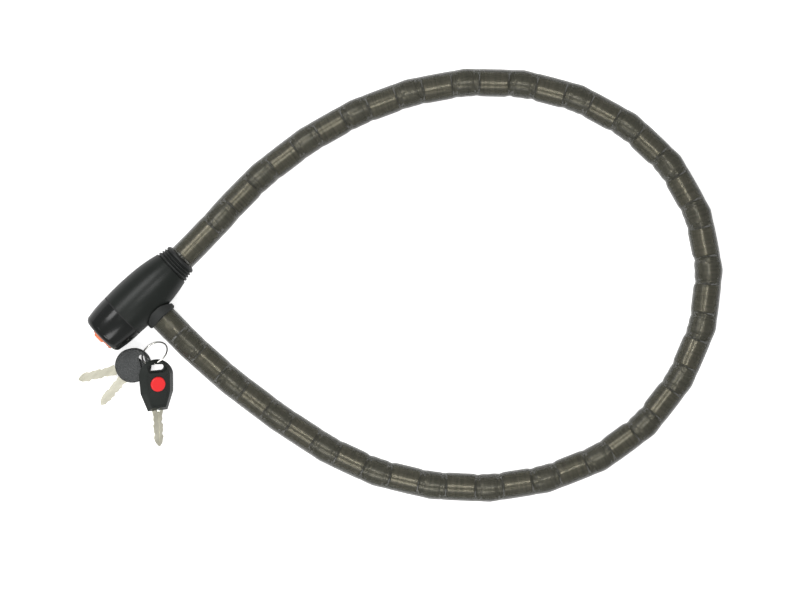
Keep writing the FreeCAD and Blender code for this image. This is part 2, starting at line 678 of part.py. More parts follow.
def span_edges(start, end):
    """Part of the route between two distances."""
    kept = []
    done = 0.0
    for edge in ROUTE_EDGES:
        low = max(start - done, 0.0)
        high = min(end - done, edge.Length)
        if high - low > 1e-4:
            first = edge.getParameterByLength(low)
            last = edge.getParameterByLength(high)
            kept.append(edge.Curve.toShape(first, last))
        done += edge.Length
    return kept


def ring_distances():
    """Distance of each ring's centre along the route."""
    plain = ROUTE_LENGTH - FERRULE_LENGTH - ring_clear()
    count = int(round(plain / PITCH))
    step = plain / count
    return [step * index for index in range(1, count + 1)]


def ring_centres():
    """Ring centres, set out a little so that straight barrels stay inside the sleeve."""
    distances = ring_distances()
    spots = [at_length(d)[0] for d in [0.0] + distances + [ROUTE_LENGTH]]
    centres = []
    for before, here, after in zip(spots, spots[1:], spots[2:]):
        centres.append(here + (here - (before + after) * 0.5) * CHORD_SHIFT)
    return centres


def link_of(index):
    """Number of the link, from 1, that holds barrel `index` (before ring `index`)."""
    return 1 + sum(1 for hinge in HINGE_RINGS if index > hinge)


def make_sleeves():
    """Clear sleeve, one piece for each link, parted at the hinges."""
    marks = [0.0]
    distances = ring_distances()
    for hinge in HINGE_RINGS:
        marks += [distances[hinge], distances[hinge] + RING_BAND / 2 + HINGE_SLEEVE_GAP]
    marks.append(ROUTE_LENGTH)
    for number, (start, end) in enumerate(zip(marks[::2], marks[1::2]), 1):
        path = Part.Wire(span_edges(start, end))
        spot, way = at_length(start)
        outer = Part.Wire(Part.makeCircle(SLEEVE_RADIUS, spot, way))
        inner = Part.Wire(Part.makeCircle(SLEEVE_BORE, spot, way))
        solids = [path.makePipeShell([ring], True, False) for ring in (outer, inner)]
        sleeve = solids[0].cut(solids[1])
        area = math.pi * (SLEEVE_RADIUS ** 2 - SLEEVE_BORE ** 2)
        print(f"sleeve_{number}: volume / (section x length) = "
              f"{sleeve.Volume / (area * (end - start)):.5f}")
        export(f"sleeve_{number}", sleeve)


def make_barrel(start, end, cut_start, cut_end):
    """Straight steel barrel between two ring centres, chamfered at both ends."""
    way = (end - start).normalize()
    low = start + way * cut_start
    high = end - way * cut_end
    body = tube(BARREL_RADIUS, BARREL_BORE, low, high)
    length = (high - low).Length
    tip = BARREL_RADIUS - BARREL_CHAMFER
    cone_in = Part.makeCone(tip, BARREL_RADIUS + 1, BARREL_CHAMFER + 1, low, way)
    cone_out = Part.makeCone(tip, BARREL_RADIUS + 1, BARREL_CHAMFER + 1, high, way * -1)
    middle = rod(BARREL_RADIUS + 1, low + way * (BARREL_CHAMFER + 1),
                 low + way * (length - BARREL_CHAMFER - 1))
    return body.common(cone_in.fuse(middle).fuse(cone_out))


def ring_clear():
    """Distance from a ring's centre to the nearest steel of its neighbour."""
    return math.hypot(BARREL_SEAT, BARREL_BORE)


def make_ring(centre, way):
    """Ring with a full-width band and two round-ended hubs that nest against the barrels."""
    reach = ring_clear() - GAP
    band = rod(BARREL_RADIUS, centre - way * (RING_BAND / 2), centre + way * (RING_BAND / 2))
    hub = rod(RING_HUB_RADIUS, centre - way * reach, centre + way * reach)
    ball = Part.makeSphere(reach, centre, way)
    ring = band.fuse(hub).common(ball)
    bore = rod(BARREL_BORE, centre - way * reach * 1.1, centre + way * reach * 1.1)
    ring = ring.cut(bore)
    assert len(ring.Solids) == 1, "a ring is lost or split"
    return ring


def make_armour():
    """Barrels, rings and rope pieces of every link."""
    centres = ring_centres()
    start = Vector(*ROUTE[0])
    ferrule_end = on_axis(0, PLUG_CAP_OUTER_Y + FERRULE_LENGTH)
    links = len(HINGE_RINGS) + 1
    barrels = {n: [] for n in range(1, links + 1)}
    rings = {n: [] for n in range(1, links + 1)}
    spots = [start] + centres
    for index, (low, high) in enumerate(zip(spots, spots[1:])):
        cut_start = COLLAR_STANDOFF if index == 0 else BARREL_SEAT
        barrels[link_of(index)].append(make_barrel(low, high, cut_start, BARREL_SEAT))
    targets = spots + [ferrule_end + Y_AXIS * -1]
    for index, centre in enumerate(centres):
        way = (targets[index + 2] - targets[index]).normalize()
        rings[link_of(index)].append(make_ring(centre, way))
    for number in range(1, links + 1):
        export(f"barrels_{number}", Part.makeCompound(barrels[number]))
        export(f"rings_{number}", Part.makeCompound(rings[number]))
    make_ropes()
    return centres


def make_ropes():
    """Steel rope inside the armour, one piece for each link."""
    distances = ring_distances()
    lead = Part.makeLine(on_axis(anchor_x() - ANCHOR_WEB - 3 * FIT), Vector(*ROUTE[0]))
    marks = [0.0]
    for hinge in HINGE_RINGS:
        marks += [distances[hinge] - GAP, distances[hinge] + BARREL_SEAT + ROPE_SETBACK]
    marks.append(ROUTE_LENGTH - FERRULE_LENGTH + ROPE_SOCKET - 3 * FIT)
    for number, (start, end) in enumerate(zip(marks[::2], marks[1::2]), 1):
        edges = span_edges(start, end)
        if number == 1:
            edges = [lead] + edges
        path = Part.Wire(edges)
        spot = edges[0].valueAt(edges[0].FirstParameter)
        way = edges[0].tangentAt(edges[0].FirstParameter)
        section = Part.Wire(Part.makeCircle(ROPE_RADIUS, spot, way))
        export(f"rope_{number}", path.makePipeShell([section], True, False))


# ---------------------------------------------------------------- keyhole cover
def make_key_cover():
    """Swing cover: disc over the keyhole, pivot boss and a raised finger rib."""
    back = FACE_X + 0.15
    front = back + COVER_THICK
    disc = rod(COVER_RADIUS, on_axis(back), on_axis(front))
    boss = rod(COVER_BOSS_RADIUS, on_axis(back, COVER_PIVOT_Y), on_axis(front, COVER_PIVOT_Y))
    web = block((back, 0, AXIS_Z - COVER_BOSS_RADIUS), (front, COVER_PIVOT_Y,
                                                        AXIS_Z + COVER_BOSS_RADIUS))
    rib = block((front - 0.2, -COVER_RIB_HALF, AXIS_Z - COVER_RIB_LENGTH / 2),
                (FACE_X + COVER_RIB_PROUD, COVER_RIB_HALF, AXIS_Z + COVER_RIB_LENGTH / 2))
    rib = rib.common(rod(COVER_RADIUS, on_axis(back), on_axis(FACE_X + COVER_RIB_PROUD)))
    tall = [edge for edge in rib.Edges if edge.BoundBox.XMin > FACE_X + COVER_RIB_PROUD - 0.01]
    rib = rib.makeChamfer(0.6, tall)
    cover = disc.fuse([web, boss, rib])
    hole = rod(COVER_PIN_RADIUS + 0.05, on_axis(back - 1, COVER_PIVOT_Y),
               on_axis(front + 1, COVER_PIVOT_Y))
    return cover.cut(hole).removeSplitter()


def make_cover_pin():
    """Headed pin that carries the cover on the end cap."""
    pin = rod(COVER_PIN_RADIUS - 0.05, on_axis(FACE_X - 2.9, COVER_PIVOT_Y),
              on_axis(FACE_X + 0.15 + COVER_THICK + 0.1, COVER_PIVOT_Y))
    front = FACE_X + 0.15 + COVER_THICK + 0.1
    head = rod(1.6, on_axis(front, COVER_PIVOT_Y), on_axis(front + 0.5, COVER_PIVOT_Y))
    return pin.fuse(head).removeSplitter()


# ---------------------------------------------------------------- keys
def stadium(half, radius, low, high, x=0.0):
    """Upright slot body across the key, centred at x."""
    middle = block((x - radius, -half, low), (x + radius, half, high))
    ends = [Part.makeCylinder(radius, high - low, Vector(x, side * half, low))
            for side in (-1, 1)]
    return middle.fuse(ends[0]).fuse(ends[1])


def make_bow():
    """Round moulded bow, dished on both faces, with a slot for the ring."""
    half = BOW_THICK / 2
    bow = Part.makeCylinder(BOW_RADIUS, BOW_THICK, Vector(0, 0, -half))
    rims = [edge for edge in bow.Edges if edge.Closed]
    bow = bow.makeFillet(0.8, rims)
    for low in (half - BOW_DISH, -half - 1):
        dish = Part.makeCylinder(BOW_RADIUS - BOW_RIM, BOW_DISH + 1, Vector(0, 0, low))
        bow = bow.cut(dish)
    for low, high in ((WEB_THICK / 2, half + 1), (-half - 1, -WEB_THICK / 2)):
        bow = bow.cut(stadium(BOW_SLOT_HALF, BOW_SLOT_RADIUS + 1.0, low, high, BOW_SLOT_X))
    bow = bow.cut(stadium(BOW_SLOT_HALF, BOW_SLOT_RADIUS, -half - 1, half + 1, BOW_SLOT_X))
    return bow.cut(tang(FIT)).removeSplitter()


def tang(clear):
    """Part of a blade held inside the bow."""
    half = BLADE_THICK / 2 + clear
    return block((TANG_START - clear, -BLADE_HALF + 1 - clear, -half),
                 (BOW_RADIUS + 1, BLADE_HALF - 1 + clear, half))


def make_blade(length, cuts):
    """Flat blade with cut edges, a rounded point and a tang."""
    half = BLADE_THICK / 2
    tang_half = BLADE_HALF - 1
    start = BOW_RADIUS + 0.3
    pitch = (length - start - 5.0) / len(cuts)
    upper = [(start, BLADE_HALF)]
    for index, depth in enumerate(cuts):
        x = start + 2.0 + pitch * index
        upper += [(x, BLADE_HALF - depth * 0.4), (x + pitch * 0.5, BLADE_HALF - depth)]
    lower = [(start, -BLADE_HALF)]
    for index, depth in enumerate(reversed(cuts)):
        x = start + 2.6 + pitch * index
        lower += [(x, -BLADE_HALF + depth * 0.3), (x + pitch * 0.5, -BLADE_HALF + depth * 0.7)]
    point = [(length - 2.6, BLADE_TIP_HALF), (length, 0.6), (length, -0.6),
             (length - 2.6, -BLADE_TIP_HALF)]
    outline = [(TANG_START, tang_half), (start, tang_half)] + upper + point + lower[::-1]
    outline += [(start, -tang_half), (TANG_START, -tang_half)]
    corners = [Vector(x, y, -half) for x, y in outline]
    face = Part.Face(Part.makePolygon(corners + corners[:1]))
    blade = face.extrude(Vector(0, 0, BLADE_THICK))
    for side in (half - 0.45, -half - 0.05):
        groove = block((start + 1, -0.9, side), (length - 4, 0.6, side + 0.5))
        blade = blade.cut(groove)
    return blade


def key_placement(centre, yaw):
    """Placement of a round-bow key: turned, then tipped with the common plane."""
    tip = Rotation(Vector(0, 1, 0), KEY_TILT)
    heading = Rotation(Z_AXIS, KEY_B_YAW)
    plane = heading.multiply(tip).multiply(heading.inverted())
    return Placement(centre, plane.multiply(Rotation(Z_AXIS, yaw)))


def placed(shape, placement):
    """Copy of a shape moved by a placement."""
    moved = shape.copy()
    moved.Placement = placement.multiply(moved.Placement)
    return moved


def lamp_placement():
    """Placement of the lamp key: headed, pitched, then rolled."""
    turn = Rotation(Z_AXIS, LAMP_YAW)
    turn = turn.multiply(Rotation(Y_AXIS, LAMP_PITCH))
    turn = turn.multiply(Rotation(X_AXIS, LAMP_ROLL))
    return Placement(LAMP_TOP, turn)


def lamp_wire(inset, height):
    """Shield outline: round top, straight sides drawn in towards the blade."""
    half = LAMP_HALF - inset
    end = LAMP_END_HALF - inset * 0.6
    top = inset
    bottom = LAMP_LENGTH - inset * 0.8
    waist = 27.0
    sides = [Vector(12.0, half, height), Vector(waist, half - 0.6, height),
             Vector(bottom, end, height)]
    mirror = [Vector(p.x, -p.y, p.z) for p in sides]
    crown = Part.Arc(mirror[0], Vector(top, 0, height), sides[0]).toShape()
    edges = [crown, Part.makeLine(sides[0], sides[1]), Part.makeLine(sides[1], sides[2]),
             Part.makeLine(sides[2], mirror[2]), Part.makeLine(mirror[2], mirror[1]),
             Part.makeLine(mirror[1], mirror[0])]
    return Part.Wire(edges)


def loft(low_inset, low, high_inset, high):
    """Solid between two shield outlines."""
    return Part.makeLoft([lamp_wire(low_inset, low), lamp_wire(high_inset, high)], True, True)


def lamp_slot():
    """Slot and its recesses near the lamp key's top."""
    through = stadium(BOW_SLOT_HALF, BOW_SLOT_RADIUS, -1, LAMP_THICK + 1, LAMP_SLOT_X)
    middle = LAMP_SPLIT + 0.4
    low = stadium(BOW_SLOT_HALF, BOW_SLOT_RADIUS + 1.4, -1, middle - WEB_THICK / 2, LAMP_SLOT_X)
    high = stadium(BOW_SLOT_HALF, BOW_SLOT_RADIUS + 1.4, middle + WEB_THICK / 2,
                   LAMP_THICK + 1, LAMP_SLOT_X)
    return through.fuse(low).fuse(high)


def lamp_inside():
    """Room for button, cells and lamp."""
    room = Part.makeCylinder(BUTTON_RADIUS + 1.6, LAMP_THICK - 2 * LAMP_WALL,
                             Vector(BUTTON_X, 0, LAMP_WALL))
    throat = block((BUTTON_X, -3.2, LAMP_WALL + 0.6), (LAMP_LENGTH - 4.2, 3.2,
                                                      LAMP_THICK - LAMP_WALL - 1.4))
    return room.fuse(throat)


def make_lamp_lower():
    """Lower shell of the lamp key."""
    shell = loft(LAMP_FLOOR_INSET, 0, 0, LAMP_SPLIT - FIT)
    shell = shell.cut(lamp_slot()).cut(lamp_inside()).cut(blade_bar(FIT))
    return shell.cut(lamp_nose(FIT)).removeSplitter()


def make_lamp_upper():
    """Upper shell of the lamp key with the button's hole and an inset face."""
    shell = loft(0, LAMP_SPLIT, LAMP_FACE_INSET, LAMP_THICK)
    plate = Part.Face(lamp_wire(LAMP_FACE_INSET + 1.6, LAMP_THICK - 0.4)).extrude(Z_AXIS)
    shell = shell.cut(plate)
    hole = Part.makeCylinder(BUTTON_RADIUS + 0.15, LAMP_THICK, Vector(BUTTON_X, 0, LAMP_SPLIT))
    shell = shell.cut(hole).cut(lamp_slot()).cut(lamp_inside()).cut(blade_bar(FIT))
    return shell.cut(lamp_nose(FIT)).removeSplitter()


def lamp_nose(clear):
    """Round bore for the small lamp at the blade end."""
    return rod(LAMP_RADIUS + FIT + clear, Vector(LAMP_LENGTH - 7, 0, LAMP_HEIGHT),
               Vector(LAMP_LENGTH + 1, 0, LAMP_HEIGHT))


def blade_bar(clear):
    """Seat of the lamp key's blade."""
    half = BLADE_THICK / 2 + clear
    wide = LAMP_BLADE_HALF + clear
    return block((LAMP_LENGTH - LAMP_BLADE_SEAT - clear, -wide, LAMP_BLADE_Z - half),
                 (LAMP_LENGTH + 2, wide, LAMP_BLADE_Z + half))


def make_lamp_blade():
    """Blade of the lamp key, the same section as the plain keys."""
    length = LAMP_BLADE_TIP - (LAMP_LENGTH - BOW_RADIUS)
    blade = make_blade(length, (1.2, 2.0, 0.9, 1.8, 1.4))
    blade.translate(Vector(LAMP_LENGTH - BOW_RADIUS, 0, LAMP_BLADE_Z))
    keep = block((LAMP_LENGTH - LAMP_BLADE_SEAT, -10, 0), (LAMP_BLADE_TIP + 1, 10, 10))
    return blade.common(keep)


def make_button():
    """Push button with a flange that stops it inside the shell."""
    top = LAMP_THICK - 0.4 + BUTTON_PROUD
    low = LAMP_WALL + 2 * CELL_THICK + BUTTON_TRAVEL + 0.9
    button = Part.makeCylinder(BUTTON_RADIUS, top - low, Vector(BUTTON_X, 0, low))
    rim = [edge for edge in button.Edges if edge.Closed and edge.BoundBox.ZMin > top - 0.01]
    button = button.makeFillet(0.8, rim)
    flange_top = LAMP_THICK - LAMP_WALL - 0.1
    flange = Part.makeCylinder(BUTTON_RADIUS + 1.0, 0.8, Vector(BUTTON_X, 0, flange_top - 0.8))
    return button.fuse(flange).removeSplitter()


def make_cells():
    """Two coin cells under the button."""
    cells = []
    for index in range(2):
        low = LAMP_WALL + 0.05 + index * (CELL_THICK + 0.05)
        cells.append(Part.makeCylinder(CELL_RADIUS, CELL_THICK, Vector(BUTTON_X, 0, low)))
    return Part.makeCompound(cells)


def make_contact():
    """Bent contact strip beside the cells that leads to the lamp."""
    strip = block((BUTTON_X + CELL_RADIUS + 0.3, -1.5, LAMP_WALL + 0.7),
                  (LAMP_LENGTH - 12.2, 1.5, LAMP_WALL + 1.1))
    riser = block((LAMP_LENGTH - 12.6, -1.5, LAMP_WALL + 0.7),
                  (LAMP_LENGTH - 12.2, 1.5, LAMP_HEIGHT))
    return strip.fuse(riser).removeSplitter()


def make_lamp():
    """Small round lamp that looks along the blade."""
    end = Vector(LAMP_LENGTH - 0.6, 0, LAMP_HEIGHT)
    body = rod(LAMP_RADIUS, Vector(LAMP_LENGTH - 6.9, 0, LAMP_HEIGHT), end)
    return body.fuse(Part.makeSphere(LAMP_RADIUS, end)).removeSplitter()


def ring_placement():
    """Placement of the split ring: tipped about its level diameter."""
    axis = Vector(math.cos(math.radians(RING_TILT_AXIS)), math.sin(math.radians(RING_TILT_AXIS)),
                  0)
    return Placement(RING_CENTRE, Rotation(axis, RING_TILT))


def ring_sweep(placement, slot_x, swing, axis):
    """Space that the ring takes, seen from a key that swings about its slot."""
    ring = placed(Part.makeTorus(RING_RADIUS, RING_WIRE + RING_RELIEF), ring_placement())
    pivot = placement.multVec(Vector(slot_x, 0, 0))
    copies = []
    for angle in swing:
        turned = ring.copy()
        turned.rotate(pivot, axis, -angle)
        turned.Placement = placement.inverse().multiply(turned.Placement)
        copies.append(turned)
    return copies


def relieve(shape, copies):
    """Shape with the ring's space taken out of it, one swing position after another."""
    for ring in copies:
        shape = shape.cut(ring)
    return shape


def make_split_ring():
    """Wire ring that carries the keys."""
    return placed(Part.makeTorus(RING_RADIUS, RING_WIRE), ring_placement())


# ---------------------------------------------------------------- build
def main():
    """Build every node."""
    os.makedirs("parts", exist_ok=True)
    export("head_shell", make_head_shell())
    export("lock_core", make_lock_core())
    export("end_cap", make_end_cap())
    export("collar", make_collar())
    export("anchor_ferrule", make_anchor_ferrule())
    export("anchor_pin", anchor_pin_rod(0.0))
    export("cylinder_housing", make_housing())
    export("housing_pin", housing_pin_rod(0.0))
    export("rotor", make_rotor())
    export("wafers", make_wafers())
    export("rotor_clip", make_rotor_clip())
    export("latch", make_latch())
    export("latch_spring", make_latch_spring())
    export("spring_screw", make_spring_screw())
    export("socket_bush", make_socket_bush())
    export("plug_pin", make_plug_pin())
    export("plug_cap", make_plug_cap())
    export("plug_ferrule", make_plug_ferrule())
    export("ferrule_rivet", make_ferrule_rivet())
    export("key_cover", make_key_cover())
    export("cover_pin", make_cover_pin())
    make_sleeves()
    centres = make_armour()
    for hinge in HINGE_RINGS:
        spot = centres[hinge]
        print(f"hinge at ring {hinge}: {spot.x:.3f} {spot.y:.3f} {spot.z:.3f}")
    normal = key_placement(KEY_A_CENTRE, 0).Rotation.multVec(Z_AXIS)
    print(f"key plane normal: {normal.x:.5f} {normal.y:.5f} {normal.z:.5f}")
    bow = make_bow()
    key_a = key_placement(KEY_A_CENTRE, KEY_A_YAW)
    key_b = key_placement(KEY_B_CENTRE, KEY_B_YAW)
    bow_a = relieve(bow, ring_sweep(key_a, BOW_SLOT_X, KEY_A_SWING, normal))
    bow_b = relieve(bow, ring_sweep(key_b, BOW_SLOT_X, KEY_B_SWING, normal))
    export("key_a_bow", placed(bow_a, key_a))
    export("key_a_blade", placed(make_blade(KEY_A_LENGTH, (0.8, 1.8, 1.2, 2.1, 1.5)), key_a))
    export("key_b_bow", placed(bow_b, key_b))
    export("key_b_blade", placed(make_blade(KEY_B_LENGTH, (1.6, 1.0, 2.0, 1.3, 1.9)), key_b))
    lamp = lamp_placement()
    relief = ring_sweep(lamp, LAMP_SLOT_X, LAMP_SWING, Z_AXIS)
    export("lamp_key_lower", placed(relieve(make_lamp_lower(), relief), lamp))
    export("lamp_key_upper", placed(relieve(make_lamp_upper(), relief), lamp))
    export("lamp_key_blade", placed(make_lamp_blade(), lamp))
    export("lamp_button", placed(make_button(), lamp))
    export("lamp_cells", placed(make_cells(), lamp))
    export("lamp_contact", placed(make_contact(), lamp))
    export("key_lamp", placed(make_lamp(), lamp))
    export("split_ring", make_split_ring())
    print("route length", round(ROUTE_LENGTH, 1))
    print("radii", [round(r) for r in RADII])
    print("nodes", len(NODES))


main()
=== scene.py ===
"""Looks of an armoured key cable lock: barrel head, clear-sleeved steel cable and a bunch of keys."""

from __future__ import annotations

import json
import logging
import math
from dataclasses import dataclass, field
from enum import Enum
from typing import Sequence

import bpy
import numpy as np
from mathutils import Matrix, Vector
from numpy.typing import NDArray

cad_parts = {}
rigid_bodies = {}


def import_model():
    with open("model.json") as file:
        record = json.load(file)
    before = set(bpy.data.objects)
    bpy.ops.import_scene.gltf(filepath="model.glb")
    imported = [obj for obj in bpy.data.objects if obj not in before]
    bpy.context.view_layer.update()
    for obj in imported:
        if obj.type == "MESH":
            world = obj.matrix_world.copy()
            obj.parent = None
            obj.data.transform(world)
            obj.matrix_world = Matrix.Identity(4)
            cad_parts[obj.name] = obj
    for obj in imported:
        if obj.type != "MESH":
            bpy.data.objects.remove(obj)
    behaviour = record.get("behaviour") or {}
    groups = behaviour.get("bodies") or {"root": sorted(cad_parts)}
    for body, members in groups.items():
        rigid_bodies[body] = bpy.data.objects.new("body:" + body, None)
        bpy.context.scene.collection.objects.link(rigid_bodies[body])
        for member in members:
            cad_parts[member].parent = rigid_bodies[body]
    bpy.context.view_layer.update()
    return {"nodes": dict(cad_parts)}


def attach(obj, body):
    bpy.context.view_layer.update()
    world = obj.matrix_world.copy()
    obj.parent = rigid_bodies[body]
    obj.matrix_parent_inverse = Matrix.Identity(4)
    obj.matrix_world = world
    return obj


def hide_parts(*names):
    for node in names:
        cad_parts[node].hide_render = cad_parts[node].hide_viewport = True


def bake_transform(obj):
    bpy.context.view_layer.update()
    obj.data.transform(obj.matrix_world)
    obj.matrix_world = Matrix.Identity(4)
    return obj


LOG = logging.getLogger("cable_lock")
Array = NDArray[np.float64]
Colour = tuple[float, float, float]
Triple = tuple[float, float, float]
Piece = bpy.types.Object
Socket = bpy.types.NodeSocket
Tree = bpy.types.ShaderNodeTree

MM = 0.001
UP = np.array([0.0, 0.0, 1.0])
# Sockets of the Mix node that deal in colours.
MIX_AMOUNT, MIX_FIRST, MIX_SECOND, MIX_COLOUR = 0, 6, 7, 2

# Where the cable runs, from the head's collar to the plug's cap, in metres.
ROUTE: tuple[Triple, ...] = (
    (-0.044, 0.000, 0.0200), (-0.072, 0.000, 0.0200), (-0.118, -0.0045, 0.0145),
    (-0.166, -0.0015, 0.0110), (-0.215, 0.009, 0.0110), (-0.262, 0.028, 0.0110),
    (-0.303, 0.054, 0.0110), (-0.338, 0.089, 0.0110), (-0.364, 0.133, 0.0110),
    (-0.378, 0.187, 0.0110), (-0.374, 0.241, 0.0110), (-0.350, 0.291, 0.0110),
    (-0.308, 0.329, 0.0110), (-0.255, 0.350, 0.0110), (-0.199, 0.354, 0.0110),
    (-0.144, 0.338, 0.0110), (-0.095, 0.307, 0.0110), (-0.056, 0.265, 0.0110),
    (-0.028, 0.216, 0.0115), (-0.013, 0.160, 0.0135), (-0.004, 0.104, 0.0185),
    (0.000, 0.062, 0.0200), (0.000, 0.024, 0.0200),
)
# Where the second and third links have their middles, in ring spacings from the collar.
LINK_MIDDLES = (5.5, 13.5)


# ---------------------------------------------------------------- meshes
def grid_faces(rows: int, columns: int) -> NDArray[np.int64]:
    """Corner numbers of the quads of a grid of points that closes on itself both ways.

    Point (i, j) has the number i * columns + j. Quad (i, j) joins it to its next neighbours, modulo
    the grid's size.

    Args:
        rows: Number of rows of points.
        columns: Number of points in a row.

    Returns:
        An array of quads, four numbers each.
    """
    i, j = np.divmod(np.arange(rows * columns), columns)
    down, along = (i + 1) % rows, (j + 1) % columns
    return np.stack([i * columns + j, i * columns + along, down * columns + along,
                     down * columns + j], axis=1)


def grid_uv(rows: int, columns: int, values: Array) -> Array:
    """UV of each face corner: share of the way round, and a value in metres for each row.

    Args:
        rows: Number of rows of points.
        columns: Number of points in a row.
        values: One value for each row.

    Returns:
        An array of UV pairs in the order of grid_faces' corners.
    """
    i, j = np.divmod(np.arange(rows * columns), columns)
    down = (i + 1) % rows
    u = np.stack([j, j + 1, j + 1, j], axis=1) / columns
    v = np.stack([values[i], values[i], values[down], values[down]], axis=1)
    return np.stack([u, v], axis=2).reshape(-1, 2)


def turn_outline(centres: Array, ahead: Array, outline: Array, around: int) -> Array:
    """Closed outlines carried round an axis at each place.

    Point k at angle a is centre + x_k ahead + r_k (side cos a + up sin a).

    Args:
        centres: Middle of each copy.
        ahead: Axis of each copy.
        outline: Pairs of x and r, in metres.
        around: Number of points round the axis.

    Returns:
        An array of copies x outline points x angles x 3.
    """
    side = np.cross(UP, ahead)
    side /= np.linalg.norm(side, axis=1, keepdims=True)
    up = np.cross(ahead, side)
    angle = np.linspace(0.0, 2 * math.pi, around, endpoint=False)[::-1]
    spoke = (side[:, None, :] * np.cos(angle)[None, :, None]
             + up[:, None, :] * np.sin(angle)[None, :, None])
    return (centres[:, None, None, :] + outline[None, :, 0, None, None] * ahead[:, None, None, :]
            + outline[None, :, 1, None, None] * spoke[:, None, :, :])


def make_piece(name: str, points: Array, faces: NDArray[np.int64], uv: Array | None = None,
               sharp: float = 35.0) -> Piece:
    """Puts points and quads into a new object at the origin.

    Args:
        name: Name of the piece.
        points: Points in metres, one row each.
        faces: Quads, four point numbers each.
        uv: UV of each face corner, where the finish follows the surface.
        sharp: Edges that bend by more than this many degrees stay sharp.

    Returns:
        The new object, linked to the scene.
    """
    mesh = bpy.data.meshes.new(name)
    count = len(faces)
    mesh.vertices.add(len(points))
    mesh.vertices.foreach_set("co", points.astype(np.float32).ravel())
    mesh.loops.add(count * 4)
    mesh.loops.foreach_set("vertex_index", faces.astype(np.int32).ravel())
    mesh.polygons.add(count)
    mesh.polygons.foreach_set("loop_start", np.arange(0, count * 4, 4, dtype=np.int32))
    if uv is not None:
        layer = mesh.uv_layers.new(name="surface")
        layer.data.foreach_set("uv", uv.astype(np.float32).ravel())
    mesh.update(calc_edges=True)
    mesh.validate()
    mesh.shade_smooth()
    mesh.set_sharp_from_angle(angle=math.radians(sharp))
    piece = bpy.data.objects.new(name, mesh)
    bpy.context.scene.collection.objects.link(piece)
    return piece


# ---------------------------------------------------------------- shader groups
class GroupMaker:
    """Builds the shader node groups that more than one finish uses."""

    def __init__(self) -> None:
        """Starts with no groups built."""
        self.made: dict[str, Tree] = {}

    def _start(self, name: str, inputs: Sequence[tuple[str, str, float]],
               outputs: Sequence[tuple[str, str]]) -> tuple[Tree, object, object]:
        """Makes an empty group with its sockets.

        Args:
            name: Name of the group.
            inputs: Name, socket type and default of each input.
            outputs: Name and socket type of each output.

        Returns:
            The group, its input node and its output node.
        """
        group = bpy.data.node_groups.new(name, "ShaderNodeTree")
        for label, kind, default in inputs:
            socket = group.interface.new_socket(name=label, in_out="INPUT", socket_type=kind)
            if kind == "NodeSocketFloat":
                socket.default_value = default
        for label, kind in outputs:
            group.interface.new_socket(name=label, in_out="OUTPUT", socket_type=kind)
        self.made[name] = group
        return group, group.nodes.new("NodeGroupInput"), group.nodes.new("NodeGroupOutput")

    def moulding(self) -> Tree:
        """Fine moulded grain: height = fine cells and noise, tone = broad noise between 0 and 1."""
        if "Moulding" in self.made:
            return self.made["Moulding"]
        group, given, result = self._start(
            "Moulding",
            [("Vector", "NodeSocketVector", 0.0), ("Grain Scale", "NodeSocketFloat", 2500.0),
             ("Smudge Scale", "NodeSocketFloat", 60.0)],
            [("Height", "NodeSocketFloat"), ("Tone", "NodeSocketFloat")])
        fine = group.nodes.new("ShaderNodeTexNoise")
        fine.inputs["Detail"].default_value = 2.0
        cells = group.nodes.new("ShaderNodeTexVoronoi")
        broad = group.nodes.new("ShaderNodeTexNoise")
        broad.inputs["Detail"].default_value = 3.0
        mix = group.nodes.new("ShaderNodeMath")
        mix.operation = "MULTIPLY_ADD"
        mix.inputs[1].default_value = 0.5
        link = group.links.new
        for node in (fine, cells, broad):
            link(given.outputs["Vector"], node.inputs["Vector"])
        link(given.outputs["Grain Scale"], fine.inputs["Scale"])
        link(given.outputs["Grain Scale"], cells.inputs["Scale"])
        link(given.outputs["Smudge Scale"], broad.inputs["Scale"])
        link(cells.outputs["Distance"], mix.inputs[0])
        link(fine.outputs["Fac"], mix.inputs[2])
        link(mix.outputs[0], result.inputs["Height"])
        link(broad.outputs["Fac"], result.inputs["Tone"])
        return group

    def brushing(self) -> Tree:
        """Brushed metal: noise on a vector that is already stretched along the brush marks."""
        if "Brushing" in self.made:
            return self.made["Brushing"]
        group, given, result = self._start(
            "Brushing",
            [("Vector", "NodeSocketVector", 0.0), ("Tarnish Scale", "NodeSocketFloat", 2.0)],
            [("Height", "NodeSocketFloat"), ("Tone", "NodeSocketFloat"),
             ("Tarnish", "NodeSocketFloat")])
        marks = group.nodes.new("ShaderNodeTexNoise")
        marks.inputs["Scale"].default_value = 1.0
        marks.inputs["Detail"].default_value = 4.0
        marks.inputs["Roughness"].default_value = 0.65
        stain = group.nodes.new("ShaderNodeTexNoise")
        stain.inputs["Detail"].default_value = 3.0
        spread = group.nodes.new("ShaderNodeMapRange")
        spread.inputs["From Min"].default_value = 0.35
        spread.inputs["From Max"].default_value = 0.7
        link = group.links.new
        link(given.outputs["Vector"], marks.inputs["Vector"])
        link(given.outputs["Vector"], stain.inputs["Vector"])
        link(given.outputs["Tarnish Scale"], stain.inputs["Scale"])
        link(marks.outputs["Fac"], result.inputs["Height"])
        link(marks.outputs["Fac"], result.inputs["Tone"])
        link(stain.outputs["Fac"], spread.inputs["Value"])
        link(spread.outputs["Result"], result.inputs["Tarnish"])
        return group


class Coordinates(Enum):
    """What a finish's pattern lies on."""

    OBJECT = "Object"
    SURFACE = "UV"


